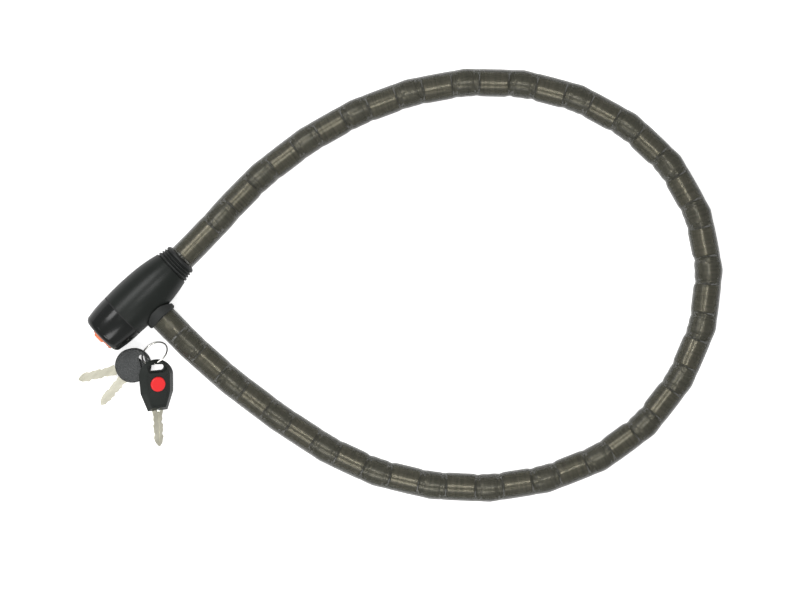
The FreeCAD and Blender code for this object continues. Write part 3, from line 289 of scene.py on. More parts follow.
class MaterialBuilder:
    """One material while its nodes are laid out."""

    def __init__(self, name: str, coordinates: Coordinates = Coordinates.OBJECT,
                 stretch: Triple = (1.0, 1.0, 1.0), turn: Triple = (0.0, 0.0, 0.0)) -> None:
        """Makes a material with a Principled BSDF and a mapped vector.

        Args:
            name: Name of the material.
            coordinates: Object coordinates or the piece's own UV map.
            stretch: Scale of the pattern's vector on each axis.
            turn: Turn of the pattern's vector, in degrees.
        """
        self.material = bpy.data.materials.new(name)
        self.material.use_nodes = True
        self.tree = self.material.node_tree
        self.surface = self.tree.nodes["Principled BSDF"]
        place = self.tree.nodes.new("ShaderNodeTexCoord")
        self.mapping = self.tree.nodes.new("ShaderNodeMapping")
        self.mapping.inputs["Scale"].default_value = stretch
        self.mapping.inputs["Rotation"].default_value = [math.radians(a) for a in turn]
        self.link(place.outputs[coordinates.value], self.mapping.inputs["Vector"])
        self.vector = self.mapping.outputs["Vector"]

    def link(self, source: Socket, target: Socket) -> None:
        """Joins two sockets."""
        self.tree.links.new(source, target)

    def set(self, **values: float | Sequence[float]) -> None:
        """Sets constants on the Principled BSDF's own sockets; names use _ for a space."""
        for label, value in values.items():
            socket = self.surface.inputs[label.replace("_", " ")]
            socket.default_value = (*value, 1.0) if isinstance(value, tuple) else value

    def use(self, group: Tree, **values: float) -> bpy.types.ShaderNode:
        """Adds a node group fed by the mapped vector.

        Args:
            group: The node group.
            values: Values of its other inputs; names use _ for a space.

        Returns:
            The group's node.
        """
        node = self.tree.nodes.new("ShaderNodeGroup")
        node.node_tree = group
        self.link(self.vector, node.inputs["Vector"])
        for label, value in values.items():
            node.inputs[label.replace("_", " ")].default_value = value
        return node

    def span(self, source: Socket, low: float, high: float) -> Socket:
        """Maps 0 to 1 onto low to high.

        Args:
            source: The value to map.
            low: Result where the value is 0.
            high: Result where the value is 1.

        Returns:
            The mapped value's socket.
        """
        node = self.tree.nodes.new("ShaderNodeMapRange")
        node.inputs["To Min"].default_value = low
        node.inputs["To Max"].default_value = high
        self.link(source, node.inputs["Value"])
        return node.outputs["Result"]

    def blend(self, amount: Socket, first: Colour, second: Colour
              ) -> Socket:
        """Mixes two colours.

        Args:
            amount: Share of the second colour.
            first: Colour at 0.
            second: Colour at 1.

        Returns:
            The mixed colour's socket.
        """
        node = self.tree.nodes.new("ShaderNodeMix")
        node.data_type = "RGBA"
        node.inputs[MIX_FIRST].default_value = (*first, 1.0)
        node.inputs[MIX_SECOND].default_value = (*second, 1.0)
        self.link(amount, node.inputs[MIX_AMOUNT])
        return node.outputs[MIX_COLOUR]

    def bump(self, height: Socket, strength: float, distance: float) -> None:
        """Adds a Bump node from a height to the surface's normal."""
        node = self.tree.nodes.new("ShaderNodeBump")
        node.inputs["Strength"].default_value = strength
        node.inputs["Distance"].default_value = distance
        self.link(height, node.inputs["Height"])
        self.link(node.outputs["Normal"], self.surface.inputs["Normal"])


# ---------------------------------------------------------------- finishes
@dataclass(frozen=True)
class MouldedPlastic:
    """Moulded plastic or rubber with a fine grain and faint handling smudges."""

    name: str
    colour: Colour
    smudge: Colour
    roughness: float
    roughness_span: float = 0.08
    grain_scale: float = 2600.0
    grain: float = 0.25
    grain_depth: float = 0.02 * MM
    specular: float = 0.5
    coat: float = 0.0
    coat_roughness: float = 0.12

    def build(self, groups: GroupMaker) -> bpy.types.Material:
        """Makes the material.

        Args:
            groups: Source of the shared node groups.

        Returns:
            The material.
        """
        made = MaterialBuilder(self.name)
        grain = made.use(groups.moulding(), Grain_Scale=self.grain_scale)
        made.link(made.blend(grain.outputs["Tone"], self.colour, self.smudge),
                  made.surface.inputs["Base Color"])
        made.link(made.span(grain.outputs["Tone"], self.roughness - self.roughness_span,
                            self.roughness + self.roughness_span),
                  made.surface.inputs["Roughness"])
        made.bump(grain.outputs["Height"], self.grain, self.grain_depth)
        made.set(Specular_IOR_Level=self.specular, Coat_Weight=self.coat,
                 Coat_Roughness=self.coat_roughness)
        return made.material


@dataclass(frozen=True)
class BrushedMetal:
    """Metal with brush marks along one direction and patches of tarnish."""

    name: str
    bright: Colour
    dull: Colour
    roughness: float
    coordinates: Coordinates = Coordinates.OBJECT
    stretch: Triple = (900.0, 900.0, 900.0)
    turn: Triple = (0.0, 0.0, 0.0)
    mark_depth: float = 0.03 * MM
    mark_strength: float = 0.3
    smoother: float = 0.08
    rougher: float = 0.1
    tarnish_scale: float = 0.12

    def build(self, groups: GroupMaker) -> bpy.types.Material:
        """Makes the material.

        Args:
            groups: Source of the shared node groups.

        Returns:
            The material.
        """
        made = MaterialBuilder(self.name, self.coordinates, self.stretch, self.turn)
        marks = made.use(groups.brushing(), Tarnish_Scale=self.tarnish_scale)
        made.link(made.blend(marks.outputs["Tarnish"], self.bright, self.dull),
                  made.surface.inputs["Base Color"])
        made.link(made.span(marks.outputs["Tone"], self.roughness - self.smoother,
                            self.roughness + self.rougher), made.surface.inputs["Roughness"])
        made.bump(marks.outputs["Height"], self.mark_strength, self.mark_depth)
        made.set(Metallic=1.0)
        return made.material


@dataclass(frozen=True)
class SmokySleeve:
    """Clear smoky soft plastic, more opaque where the wall is seen edge on."""

    name: str = "smoky_sleeve_skin"
    colour: Colour = (0.040, 0.041, 0.030)
    film: Colour = (0.082, 0.080, 0.064)
    through: float = 0.36
    edge: float = 0.95
    facing: float = 0.32
    roughness: float = 0.3
    roughness_span: float = 0.12
    specular: float = 0.25
    ripple: float = 0.25
    ripple_depth: float = 0.3 * MM

    def build(self, groups: GroupMaker) -> bpy.types.Material:
        """Makes the material.

        Args:
            groups: Source of the shared node groups.

        Returns:
            The material.
        """
        made = MaterialBuilder(self.name, Coordinates.SURFACE, (3.0, 90.0, 1.0))
        grain = made.use(groups.moulding(), Grain_Scale=6.0, Smudge_Scale=1.0)
        made.link(made.blend(grain.outputs["Tone"], self.colour, self.film),
                  made.surface.inputs["Base Color"])
        made.link(made.span(grain.outputs["Tone"], self.roughness - self.roughness_span,
                            self.roughness + self.roughness_span),
                  made.surface.inputs["Roughness"])
        facing = made.tree.nodes.new("ShaderNodeLayerWeight")
        facing.inputs["Blend"].default_value = self.facing
        made.link(made.span(facing.outputs["Facing"], self.through, self.edge),
                  made.surface.inputs["Alpha"])
        made.bump(grain.outputs["Tone"], self.ripple, self.ripple_depth)
        made.set(Specular_IOR_Level=self.specular)
        return made.material


@dataclass(frozen=True)
class ClearLens:
    """Clear epoxy of a small lamp."""

    name: str = "lamp_epoxy"
    colour: Colour = (0.94, 0.96, 1.0)
    roughness: tuple[float, float] = (0.02, 0.1)

    def build(self, groups: GroupMaker) -> bpy.types.Material:
        """Makes the material.

        Args:
            groups: Source of the shared node groups.

        Returns:
            The material.
        """
        made = MaterialBuilder(self.name)
        grain = made.use(groups.moulding(), Grain_Scale=900.0)
        made.link(made.span(grain.outputs["Tone"], *self.roughness), made.surface.inputs["Roughness"])
        made.set(Base_Color=self.colour, Transmission_Weight=1.0, IOR=1.5)
        return made.material


class Paint(Enum):
    """Every finish on the lock, with its settings."""

    SHELL = MouldedPlastic("head_shell_black", (0.0075, 0.0095, 0.0080), (0.0120, 0.0145, 0.0125),
                           0.34, 0.06, grain=0.3, specular=0.22)
    CAP = MouldedPlastic("end_cap_black", (0.0055, 0.0065, 0.006), (0.010, 0.0112, 0.0105), 0.2,
                         0.07, grain=0.12, specular=0.2, coat=0.12)
    COLLAR = MouldedPlastic("collar_rubber", (0.012, 0.013, 0.0125), (0.019, 0.0205, 0.0195), 0.42,
                            grain=0.35, specular=0.25)
    PLUG_CAP = MouldedPlastic("plug_cap_rubber", (0.017, 0.0185, 0.0175), (0.026, 0.0275, 0.0265),
                              0.55, grain=0.35, specular=0.25)
    COVER = MouldedPlastic("cover_orange", (0.86, 0.20, 0.085), (0.90, 0.26, 0.12), 0.42,
                           grain=0.2)
    BOW = MouldedPlastic("key_bow_black", (0.013, 0.0155, 0.0155), (0.03, 0.034, 0.034), 0.45,
                         0.1, grain_scale=850.0, grain=1.0, grain_depth=0.5 * MM, specular=0.6)
    LAMP = MouldedPlastic("lamp_key_black", (0.012, 0.0145, 0.013), (0.021, 0.025, 0.0225), 0.33,
                          0.08, grain=0.3, specular=0.28)
    BUTTON = MouldedPlastic("button_red", (0.72, 0.012, 0.016), (0.80, 0.022, 0.024), 0.34,
                            grain=0.2)
    # Near-black: the button's engraved lines, and also the painted shadow band in the seam between the
    # head's shell and cap.
    ENGRAVING_AND_SEAM_SHADOW = MouldedPlastic("engraved_line_and_seam_shadow", (0.002, 0.002, 0.002), (0.004, 0.004, 0.004), 0.7,
                               grain=0.1)
    BARREL = BrushedMetal("barrel_steel", (0.38, 0.345, 0.245), (0.20, 0.183, 0.122), 0.30,
                          Coordinates.SURFACE, (9.0, 2600.0, 1.0), mark_strength=0.2)
    RING = BrushedMetal("ring_steel", (0.30, 0.28, 0.21), (0.16, 0.152, 0.11), 0.34,
                        Coordinates.SURFACE, (9.0, 2600.0, 1.0), mark_strength=0.25)
    ROPE = BrushedMetal("rope_steel", (0.36, 0.36, 0.34), (0.2, 0.2, 0.19), 0.4,
                        Coordinates.SURFACE, (30.0, 700.0, 1.0))
    FERRULE = BrushedMetal("ferrule_steel", (0.34, 0.315, 0.23), (0.20, 0.188, 0.13), 0.34,
                           stretch=(1400.0, 90.0, 1400.0))
    NICKEL = BrushedMetal("key_nickel", (0.74, 0.72, 0.60), (0.56, 0.545, 0.44), 0.33,
                          stretch=(240.0, 1500.0, 1500.0), turn=(0.0, 0.0, -30.0))
    WIRE = BrushedMetal("ring_wire", (0.80, 0.79, 0.74), (0.60, 0.59, 0.55), 0.2)
    BRASS = BrushedMetal("turned_brass", (0.78, 0.60, 0.29), (0.60, 0.44, 0.2), 0.3)
    STEEL = BrushedMetal("hard_steel", (0.60, 0.60, 0.58), (0.42, 0.42, 0.41), 0.3)
    CAST = BrushedMetal("cast_zinc", (0.52, 0.53, 0.55), (0.36, 0.37, 0.38), 0.5)
    SLEEVE = SmokySleeve()
    LENS = ClearLens()


class PaintShop:
    """Builds each finish once and puts it on pieces."""

    def __init__(self) -> None:
        """Starts with empty shelves."""
        self.groups = GroupMaker()
        self.mixed: dict[Paint, bpy.types.Material] = {}

    def coat_all(self, nodes: dict[str, Piece], paints: dict[str, Paint]) -> None:
        """Gives each named node its own finish.

        Args:
            nodes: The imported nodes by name.
            paints: Finish of each node, by the node's name.
        """
        for name, paint in paints.items():
            self.coat(nodes[name], paint)
            LOG.info("dressed %s", name)

    def coat(self, piece: Piece, paint: Paint) -> None:
        """Gives a piece one finish.

        Args:
            piece: The piece; its mesh keeps its shape.
            paint: The finish.
        """
        if paint not in self.mixed:
            self.mixed[paint] = paint.value.build(self.groups)
        piece.data.materials.clear()
        piece.data.materials.append(self.mixed[paint])


# ---------------------------------------------------------------- the cable's line
class CableLine:
    """Smooth line of the cable: points, directions and bend at even steps."""

    def __init__(self, route: Sequence[Triple], step: float = 1.5 * MM,
                 smoothing: float = 22.0 * MM, tangent_smoothing: float = 6.0 * MM) -> None:
        """Reads a NURBS spline of order 3 through the route and spaces its points evenly.

        Args:
            route: Control points, in metres.
            step: Distance between the even points.
            smoothing: Length over which the bend is averaged.
            tangent_smoothing: Length over which the direction is averaged.
        """
        curve = bpy.data.curves.new("cable_line", "CURVE")
        curve.dimensions = "3D"
        curve.resolution_u = 48
        spline = curve.splines.new("NURBS")
        spline.points.add(len(route) - 1)
        control = np.column_stack([np.array(route), np.ones(len(route))])
        spline.points.foreach_set("co", control.ravel())
        spline.order_u = 3
        spline.use_endpoint_u = True
        holder = bpy.data.objects.new("cable_line", curve)
        mesh = bpy.data.meshes.new_from_object(holder)
        raw = np.zeros(len(mesh.vertices) * 3)
        mesh.vertices.foreach_get("co", raw)
        bpy.data.objects.remove(holder)
        bpy.data.curves.remove(curve)
        bpy.data.meshes.remove(mesh)
        raw = raw.reshape(-1, 3)
        run = np.concatenate([[0.0], np.cumsum(np.linalg.norm(np.diff(raw, axis=0), axis=1))])
        self.length = float(run[-1])
        self.distance = np.linspace(0.0, self.length, int(round(self.length / step)) + 1)
        self.points = np.stack([np.interp(self.distance, run, raw[:, k]) for k in range(3)], axis=1)
        self.tangent = self._unit(self._soften(np.gradient(self.points, self.distance, axis=0),
                                               tangent_smoothing))
        self.bend = self._soften(np.gradient(self.tangent, self.distance, axis=0), smoothing)

    @staticmethod
    def _unit(vectors: Array) -> Array:
        """Vectors divided by their lengths."""
        return vectors / np.linalg.norm(vectors, axis=-1, keepdims=True)

    def _soften(self, values: Array, width: float) -> Array:
        """Average of each column over a width, with a cosine window.

        Args:
            values: One row for each even point.
            width: Width of the window, in metres.

        Returns:
            Averaged rows.
        """
        half = max(1, int(round(width / (self.distance[1] - self.distance[0]))))
        window = np.hanning(2 * half + 3)[1:-1]
        window /= window.sum()
        padded = np.pad(values, ((half, half), (0, 0)), mode="edge")
        return np.stack([np.convolve(padded[:, k], window, mode="valid")
                         for k in range(values.shape[1])], axis=1)

    def at(self, where: Array | float, values: Array) -> Array:
        """Rows of values at distances along the line, by straight interpolation."""
        return np.stack([np.interp(where, self.distance, values[:, k])
                         for k in range(values.shape[1])], axis=-1)

    def frame(self, where: Array) -> tuple[Array, Array, Array]:
        """Direction, sideways and upward unit vectors at distances along the line.

        Sideways is up x direction made a unit vector, and upward is direction x sideways.

        Args:
            where: Distances from the collar.

        Returns:
            Three arrays of unit vectors.
        """
        ahead = self._unit(self.at(where, self.tangent))
        side = self._unit(np.cross(UP, ahead))
        return ahead, side, np.cross(ahead, side)


@dataclass
class Stretch:
    """A stretch of cable between the middles of two links, which bends at one joint."""

    number: int
    start: float
    end: float
    bodies: tuple[str, str]
    bend_from: Triple
    bend_to: Triple
    nodes: tuple[int, int]


@dataclass
class Cable:
    """Steel barrels and ball rings on a rope inside a clear sleeve."""

    line: CableLine
    ring_count: int = 24
    sleeve_radius: float = 11.0 * MM
    sleeve_wall: float = 1.15 * MM
    barrel_radius: float = 8.68 * MM
    barrel_bore: float = 4.7 * MM
    barrel_seat: float = 11.5 * MM
    barrel_chamfer: float = 0.9 * MM
    chamfer_turn: float = 0.35
    chamfer_hold: float = 4.0
    barrel_standoff: float = 1.0 * MM
    ring_half: float = 6.5 * MM
    ring_radius: float = 8.68 * MM
    hub_radius: float = 6.9 * MM
    hub_half: float = 11.0 * MM
    lip_from: float = 8.2 * MM
    lip_to: float = 9.5 * MM
    lip_radius: float = 8.3 * MM
    lip_edge: float = 0.3 * MM
    ring_edge: float = 0.8 * MM
    ring_turn: float = 0.2 * MM
    ring_crown: tuple[float, float] = (0.06 * MM, 0.08 * MM)
    hub_edge: tuple[float, float] = (1.0 * MM, 1.2 * MM)
    rope_radius: float = 2.75 * MM
    rope_lay: float = 40.0 * MM
    rope_groove: float = 0.14
    rope_core: float = 0.1
    rope_step: float = 2.5 * MM
    rope_around: int = 36
    rope_in_ferrule: float = 4.0 * MM
    ferrule_length: float = 17.0 * MM
    pucker_depth: float = 1.0 * MM
    pucker_place: float = 8.9 * MM
    pucker_width: float = 2.6 * MM
    pucker_wobble: float = 0.25
    wobble_step: float = 2.4
    outer_share: float = 0.22
    inner_power: float = 1.5
    full_bend: float = 6.0
    least_bend: float = 0.25
    swell_height: float = 0.3 * MM
    swell_width: float = 0.75
    facet_share: float = 0.85
    end_share: float = 0.6
    pattern_step: float = 0.137
    sleeve_step: float = 1.6 * MM
    around: int = 56

    def __post_init__(self) -> None:
        """Spaces the rings evenly between the collar and the plug's ferrule."""
        clear = math.hypot(self.barrel_seat, self.barrel_bore)
        self.pitch = (self.line.length - self.ferrule_length - clear) / self.ring_count
        self.rings = self.pitch * np.arange(1, self.ring_count + 1)
        self.centres = self._pushed(self.rings, self._offset(self.rings))

    def _offset(self, where: Array) -> Array:
        """How far the straight barrels' axis lies inside the smooth line.

        A chord of length p under a bend k lies k (p^2/8 - x^2/2) inside its arc at x from its middle.
        The rings stand half of k p^2/8 outside the line, so the offset is k (p^2/16 - x^2/2).

        Args:
            where: Distances from the collar.

        Returns:
            Offsets towards the inside of the bend, per unit of bend.
        """
        x = np.mod(np.asarray(where), self.pitch) - self.pitch / 2
        offset = self.pitch ** 2 / 16 - x ** 2 / 2
        ends = np.minimum(where, self.line.length - np.asarray(where)) / (self.end_share * self.pitch)
        return offset * np.clip(ends, 0.0, 1.0)

    def _pushed(self, where: Array, offset: Array) -> Array:
        """Points at distances along the line, moved towards the inside of the bend."""
        bend = self.line.at(where, self.line.bend)
        return self.line.at(where, self.line.points) + bend * np.asarray(offset)[..., None]

    def _sleeve_surface(self, where: Array, depth: float) -> Array:
        """Points of the sleeve's outer or inner surface.

        Around the axis at angle a the point is centre + r (side cos a + up sin a). The radius r is the
        sleeve's radius less the depth, less a pucker either side of each ring. A pucker is a bell curve
        of the distance from its place, deepest at the inside of the bend and nearly none outside, and
        the skin swells a little over the ring itself.

        Args:
            where: Distances from the collar.
            depth: Depth below the outer surface.

        Returns:
            An array of rows of points around the axis.
        """
        _, side, up = self.line.frame(where)
        angle = np.linspace(0.0, 2 * math.pi, self.around, endpoint=False)
        bend = self.line.at(where, self.line.bend)
        inward = (bend * side).sum(axis=1)
        share = np.clip(np.abs(inward) / self.full_bend, self.least_bend, 1.0)
        facing = 0.5 + 0.5 * np.cos(angle)[None, :] * np.sign(inward)[:, None]
        inner = self.outer_share + (1 - self.outer_share) * facing ** self.inner_power
        gap = where[:, None] - self.rings[None, :]
        wobble = 1.0 + self.pucker_wobble * np.sin(np.arange(self.ring_count) * self.wobble_step)
        place = self.pucker_place * wobble ** 0.3
        bell = np.exp(-((np.abs(gap) - place) / self.pucker_width) ** 2)
        pucker = (bell * wobble).sum(axis=1) * self.pucker_depth * share
        swell = np.exp(-(gap / (self.swell_width * self.ring_half)) ** 2).sum(axis=1)
        swell *= self.swell_height
        radius = self.sleeve_radius - depth - pucker[:, None] * inner + (swell * share)[:, None] * inner
        centre = self._pushed(where, self._offset(where) * self.facet_share)
        return (centre[:, None, :]
                + radius[..., None] * (side[:, None, :] * np.cos(angle)[None, :, None]
                                       + up[:, None, :] * np.sin(angle)[None, :, None]))

    def make_sleeve(self, part: Stretch) -> Piece:
        """Closed shell of clear sleeve: the outer surface out, the inner one back.

        Args:
            part: The stretch of cable.

        Returns:
            The new piece.
        """
        rows = int(round((part.end - part.start) / self.sleeve_step))
        where = np.linspace(part.start, part.end, rows)
        shell = np.concatenate([self._sleeve_surface(where, 0.0),
                                self._sleeve_surface(where[::-1], self.sleeve_wall)])
        shell = shell[:, ::-1]
        values = np.concatenate([where, where[::-1]])
        return make_piece(f"clear_sleeve_{part.number}", shell.reshape(-1, 3),
                          grid_faces(2 * rows, self.around),
                          grid_uv(2 * rows, self.around, values), sharp=60.0)

    def _copies(self, name: str, points: Array) -> Piece:
        """Joins equal closed outlines of revolution into one piece with a running UV."""
        count, outline, around, _ = points.shape
        faces = grid_faces(outline, around)
        length = np.linalg.norm(np.diff(points[0, :, 0], axis=0, append=points[0, :1, 0]), axis=1)
        values = np.concatenate([[0.0], np.cumsum(length)[:-1]])
        every = (faces[None] + (np.arange(count) * outline * around)[:, None, None]).reshape(-1, 4)
        uv = np.concatenate([grid_uv(outline, around, values + self.pattern_step * k)
                             for k in range(count)])
        return make_piece(name, points.reshape(-1, 3), every, uv, sharp=28.0)

    def make_barrels(self, part: Stretch) -> Piece:
        """Straight barrels whose middles lie in a stretch, chamfered at both ends.

        Args:
            part: The stretch of cable.

        Returns:
            The new piece.
        """
        spots = np.concatenate([self.line.points[:1], self.centres])
        places = np.concatenate([[0.0], self.rings])
        middle = (places[1:] + places[:-1]) / 2
        chosen = np.flatnonzero((middle >= part.start) & (middle < part.end))
        shapes = []
        for index in chosen:
            low, high = spots[index], spots[index + 1]
            ahead = (high - low) / np.linalg.norm(high - low)
            first = self.barrel_standoff if index == 0 else self.barrel_seat
            last = float(np.linalg.norm(high - low)) - self.barrel_seat
            r, b, c = self.barrel_radius, self.barrel_bore, self.barrel_chamfer
            turn, hold = self.chamfer_turn * c, self.chamfer_hold * c
            outline = np.array([(first, b), (first, r - c), (first + turn, r - turn),
                                (first + c, r), (first + hold, r), (last - hold, r), (last - c, r),
                                (last - turn, r - turn), (last, r - c), (last, b)])
            shapes.append(turn_outline(low[None], ahead[None], outline, self.around))
        return self._copies(f"barrels_{part.number}_steel", np.concatenate(shapes))

    def make_rings(self, part: Stretch) -> Piece:
        """Ball rings in a stretch: a band, a groove, a thin lip and a round-ended hub each side.

        Args:
            part: The stretch of cable.

        Returns:
            The new piece.
        """
        chosen = np.flatnonzero((self.rings >= part.start) & (self.rings < part.end))
        spots = np.concatenate([self.line.points[:1], self.centres, self.line.points[-1:]])
        ahead = spots[chosen + 2] - spots[chosen]
        ahead /= np.linalg.norm(ahead, axis=1, keepdims=True)
        half, band, hub = self.ring_half, self.ring_radius, self.hub_radius
        edge, turn, lip, bevel = self.ring_edge, self.ring_turn, self.lip_radius, self.lip_edge
        side = [(half - edge, band), (half - turn, band - turn), (half, band - edge),
                (half, hub), (self.lip_from, hub), (self.lip_from, lip - bevel),
                (self.lip_from + bevel, lip), (self.lip_to - bevel, lip),
                (self.lip_to, lip - bevel), (self.lip_to, hub),
                (self.hub_half - self.hub_edge[0], hub), (self.hub_half, hub - self.hub_edge[1]),
                (self.hub_half, self.barrel_bore)]
        mirrored = [(-x, r) for x, r in side[::-1]]
        shoulder, crown = (band + rise for rise in self.ring_crown)
        outline = np.array(mirrored + [(-half / 2, shoulder), (0.0, crown), (half / 2, shoulder)]
                           + side)
        return self._copies(f"rings_{part.number}_steel",
                            turn_outline(self.centres[chosen], ahead, outline, self.around))

    def make_rope(self, part: Stretch) -> Piece:
        """Laid rope inside the barrels.

        The radius at angle a and distance s is R (1 - groove |sin(3 (a + 2 pi s / lay))|), so six
        strands wind round the axis. It is a closed tube with a pin-sized bore.

        Args:
            part: The stretch of cable.

        Returns:
            The new piece.
        """
        last = min(part.end, self.line.length - self.ferrule_length + self.rope_in_ferrule)
        rows = int(round((last - part.start) / self.rope_step))
        where = np.linspace(part.start, last, rows)
        _, side, up = self.line.frame(where)
        angle = np.linspace(0.0, 2 * math.pi, self.rope_around, endpoint=False)[::-1]
        strand = np.abs(np.sin(3 * (angle[None, :] + 2 * math.pi * where[:, None] / self.rope_lay)))
        radius = self.rope_radius * (1 - self.rope_groove * strand)
        spoke = (side[:, None, :] * np.cos(angle)[None, :, None]
                 + up[:, None, :] * np.sin(angle)[None, :, None])
        centre = self._pushed(where, self._offset(where))[:, None, :]
        wall = np.concatenate([centre + radius[..., None] * spoke,
                               (centre + self.rope_core * self.rope_radius * spoke)[::-1]])
        values = np.concatenate([where, where[::-1]])
        return make_piece(f"rope_{part.number}_strands", wall.reshape(-1, 3),
                          grid_faces(2 * rows, self.rope_around),
                          grid_uv(2 * rows, self.rope_around, values), sharp=60.0)

    def build(self, part: Stretch, shop: PaintShop, ends: Sequence[Piece],
              far_end: str) -> None:
        """Makes and dresses one stretch, and hides the imported pieces it stands in for.

        Args:
            part: The stretch of cable.
            shop: Source of the finishes.
            ends: Pieces on the stretch's far end; not used.
        """
        sleeve = self.make_sleeve(part)
        barrels, rings, rope = self.make_barrels(part), self.make_rings(part), self.make_rope(part)
        for piece, paint, slot in ((sleeve, Paint.SLEEVE, "smoky_sleeve"),
                                   (barrels, Paint.BARREL, "barrel_steel"),
                                   (rings, Paint.RING, "barrel_steel"),
                                   (rope, Paint.ROPE, "rope_steel")):
            shop.coat(piece, paint)
            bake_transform(piece)
        for piece, family in ((sleeve, "sleeve"), (barrels, "barrels"), (rings, "rings"),
                              (rope, "rope")):
            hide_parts(*(f"{family}_{n}" for n in part.nodes))
        LOG.info("cable stretch %d: %.0f mm", part.number, (part.end - part.start) / MM)


# ---------------------------------------------------------------- head, plug and keys
@dataclass
class Head:
    """Barrel-shaped head with its lock, cap, collar and keyhole cover."""

    axis_height: float = 20.0 * MM
    collar_from: float = -31.95 * MM
    collar_to: float = -43.95 * MM
    collar_radii: tuple[float, float] = (15.6 * MM, 13.4 * MM)
    collar_bore: float = 2.85 * MM
    collar_rounding: float = 1.6 * MM
    grooves: tuple[float, ...] = (-32.6 * MM, -35.6 * MM, -37.9 * MM, -40.2 * MM)
    groove_depth: float = 1.35 * MM
    groove_width: float = 0.62 * MM
    seam: Triple = (21.35 * MM, 22.35 * MM, 19.76 * MM)
    seam_depth: float = 0.7 * MM
    around: int = 96
    paints: dict[str, Paint] = field(default_factory=lambda: {
        "head_shell": Paint.SHELL, "end_cap": Paint.CAP,
        "key_cover": Paint.COVER, "lock_core": Paint.CAST, "anchor_ferrule": Paint.STEEL,
        "anchor_pin": Paint.STEEL, "cylinder_housing": Paint.BRASS, "housing_pin": Paint.STEEL,
        "rotor": Paint.BRASS, "wafers": Paint.BRASS, "rotor_clip": Paint.WIRE,
        "latch": Paint.STEEL, "latch_spring": Paint.WIRE, "spring_screw": Paint.STEEL,
        "socket_bush": Paint.STEEL, "cover_pin": Paint.STEEL,
    })

    def _turned(self, name: str, along: Array, radius: Array) -> Piece:
        """Closed outline turned about the head's axis.

        Args:
            name: Name of the piece.
            along: Places of the outline's points on the axis.
            radius: Distances of the outline's points from the axis.

        Returns:
            The new piece.
        """
        outline = np.column_stack([along, radius])[::-1]
        points = turn_outline(np.array([[0.0, 0.0, self.axis_height]]), np.array([[1.0, 0.0, 0.0]]),
                              outline, self.around)
        return make_piece(name, points.reshape(-1, 3), grid_faces(len(outline), self.around),
                          grid_uv(len(outline), self.around, outline[:, 0]), sharp=50.0)

    def make_collar(self) -> Piece:
        """Ribbed collar.

        The radius falls evenly from the neck to the cable, less a bell-shaped groove of the distance
        from each groove's place, and the last part is rounded off as r (1 - t^2) with t the share of
        the rounding that is used up.

        Returns:
            The new piece.
        """
        along = np.linspace(self.collar_from, self.collar_to, 90)
        share = np.linspace(0.0, 1.0, len(along))
        radius = self.collar_radii[0] + (self.collar_radii[1] - self.collar_radii[0]) * share
        gap = (along[:, None] - np.array(self.grooves)[None, :]) / self.groove_width
        radius -= self.groove_depth * np.exp(-gap ** 2).sum(axis=1)
        used = np.clip(1.0 - (along - self.collar_to) / self.collar_rounding, 0.0, 1.0)
        radius -= self.collar_rounding * used ** 2
        return self._turned("collar_ribs", np.concatenate([along, along[[-1, 0]]]),
                            np.concatenate([radius, [self.collar_bore] * 2]))

    def make_seam_shadow(self) -> Piece:
        """Dark band of painted shadow that shows in the joint between shell and cap, where the thin
        groove would be shaded.

        Returns:
            The new piece.
        """
        # A near-black ring stands in for the shadow inside the seam's groove.
        start, end, radius = self.seam
        return self._turned("seam_painted_shadow", np.array([start, end, end, start]),
                            np.array([radius, radius, radius - self.seam_depth,
                                      radius - self.seam_depth]))

    def dress(self, nodes: dict[str, Piece], shop: PaintShop) -> None:
        """Puts the finishes on the head's nodes and adds the collar's ribs and the band of painted seam
        shadow.
        """
        shop.coat_all(nodes, self.paints)
        collar, seam = self.make_collar(), self.make_seam_shadow()
        # The seam band takes the near-black finish as painted shadow in the joint between shell and
        # cap.
        for piece, paint, slot in ((collar, Paint.COLLAR, "collar_black"),
                                   (seam, Paint.ENGRAVING_AND_SEAM_SHADOW, "shell_black")):
            shop.coat(piece, paint)
            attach(piece, "head")
        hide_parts("collar")


@dataclass
class Plug:
    """Plug end: hardened pin, soft cap, ferrule and its rivet."""

    paints: dict[str, Paint] = field(default_factory=lambda: {
        "plug_pin": Paint.STEEL, "plug_cap": Paint.PLUG_CAP, "plug_ferrule": Paint.FERRULE,
        "ferrule_rivet": Paint.FERRULE,
    })

    def dress(self, nodes: dict[str, Piece], shop: PaintShop) -> list[Piece]:
        """Puts the finishes on the plug's nodes.

        Args:
            nodes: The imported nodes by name.
            shop: Source of the finishes.

        Returns:
            The plug's pieces.
        """
        shop.coat_all(nodes, self.paints)
        return [nodes[name] for name in self.paints]


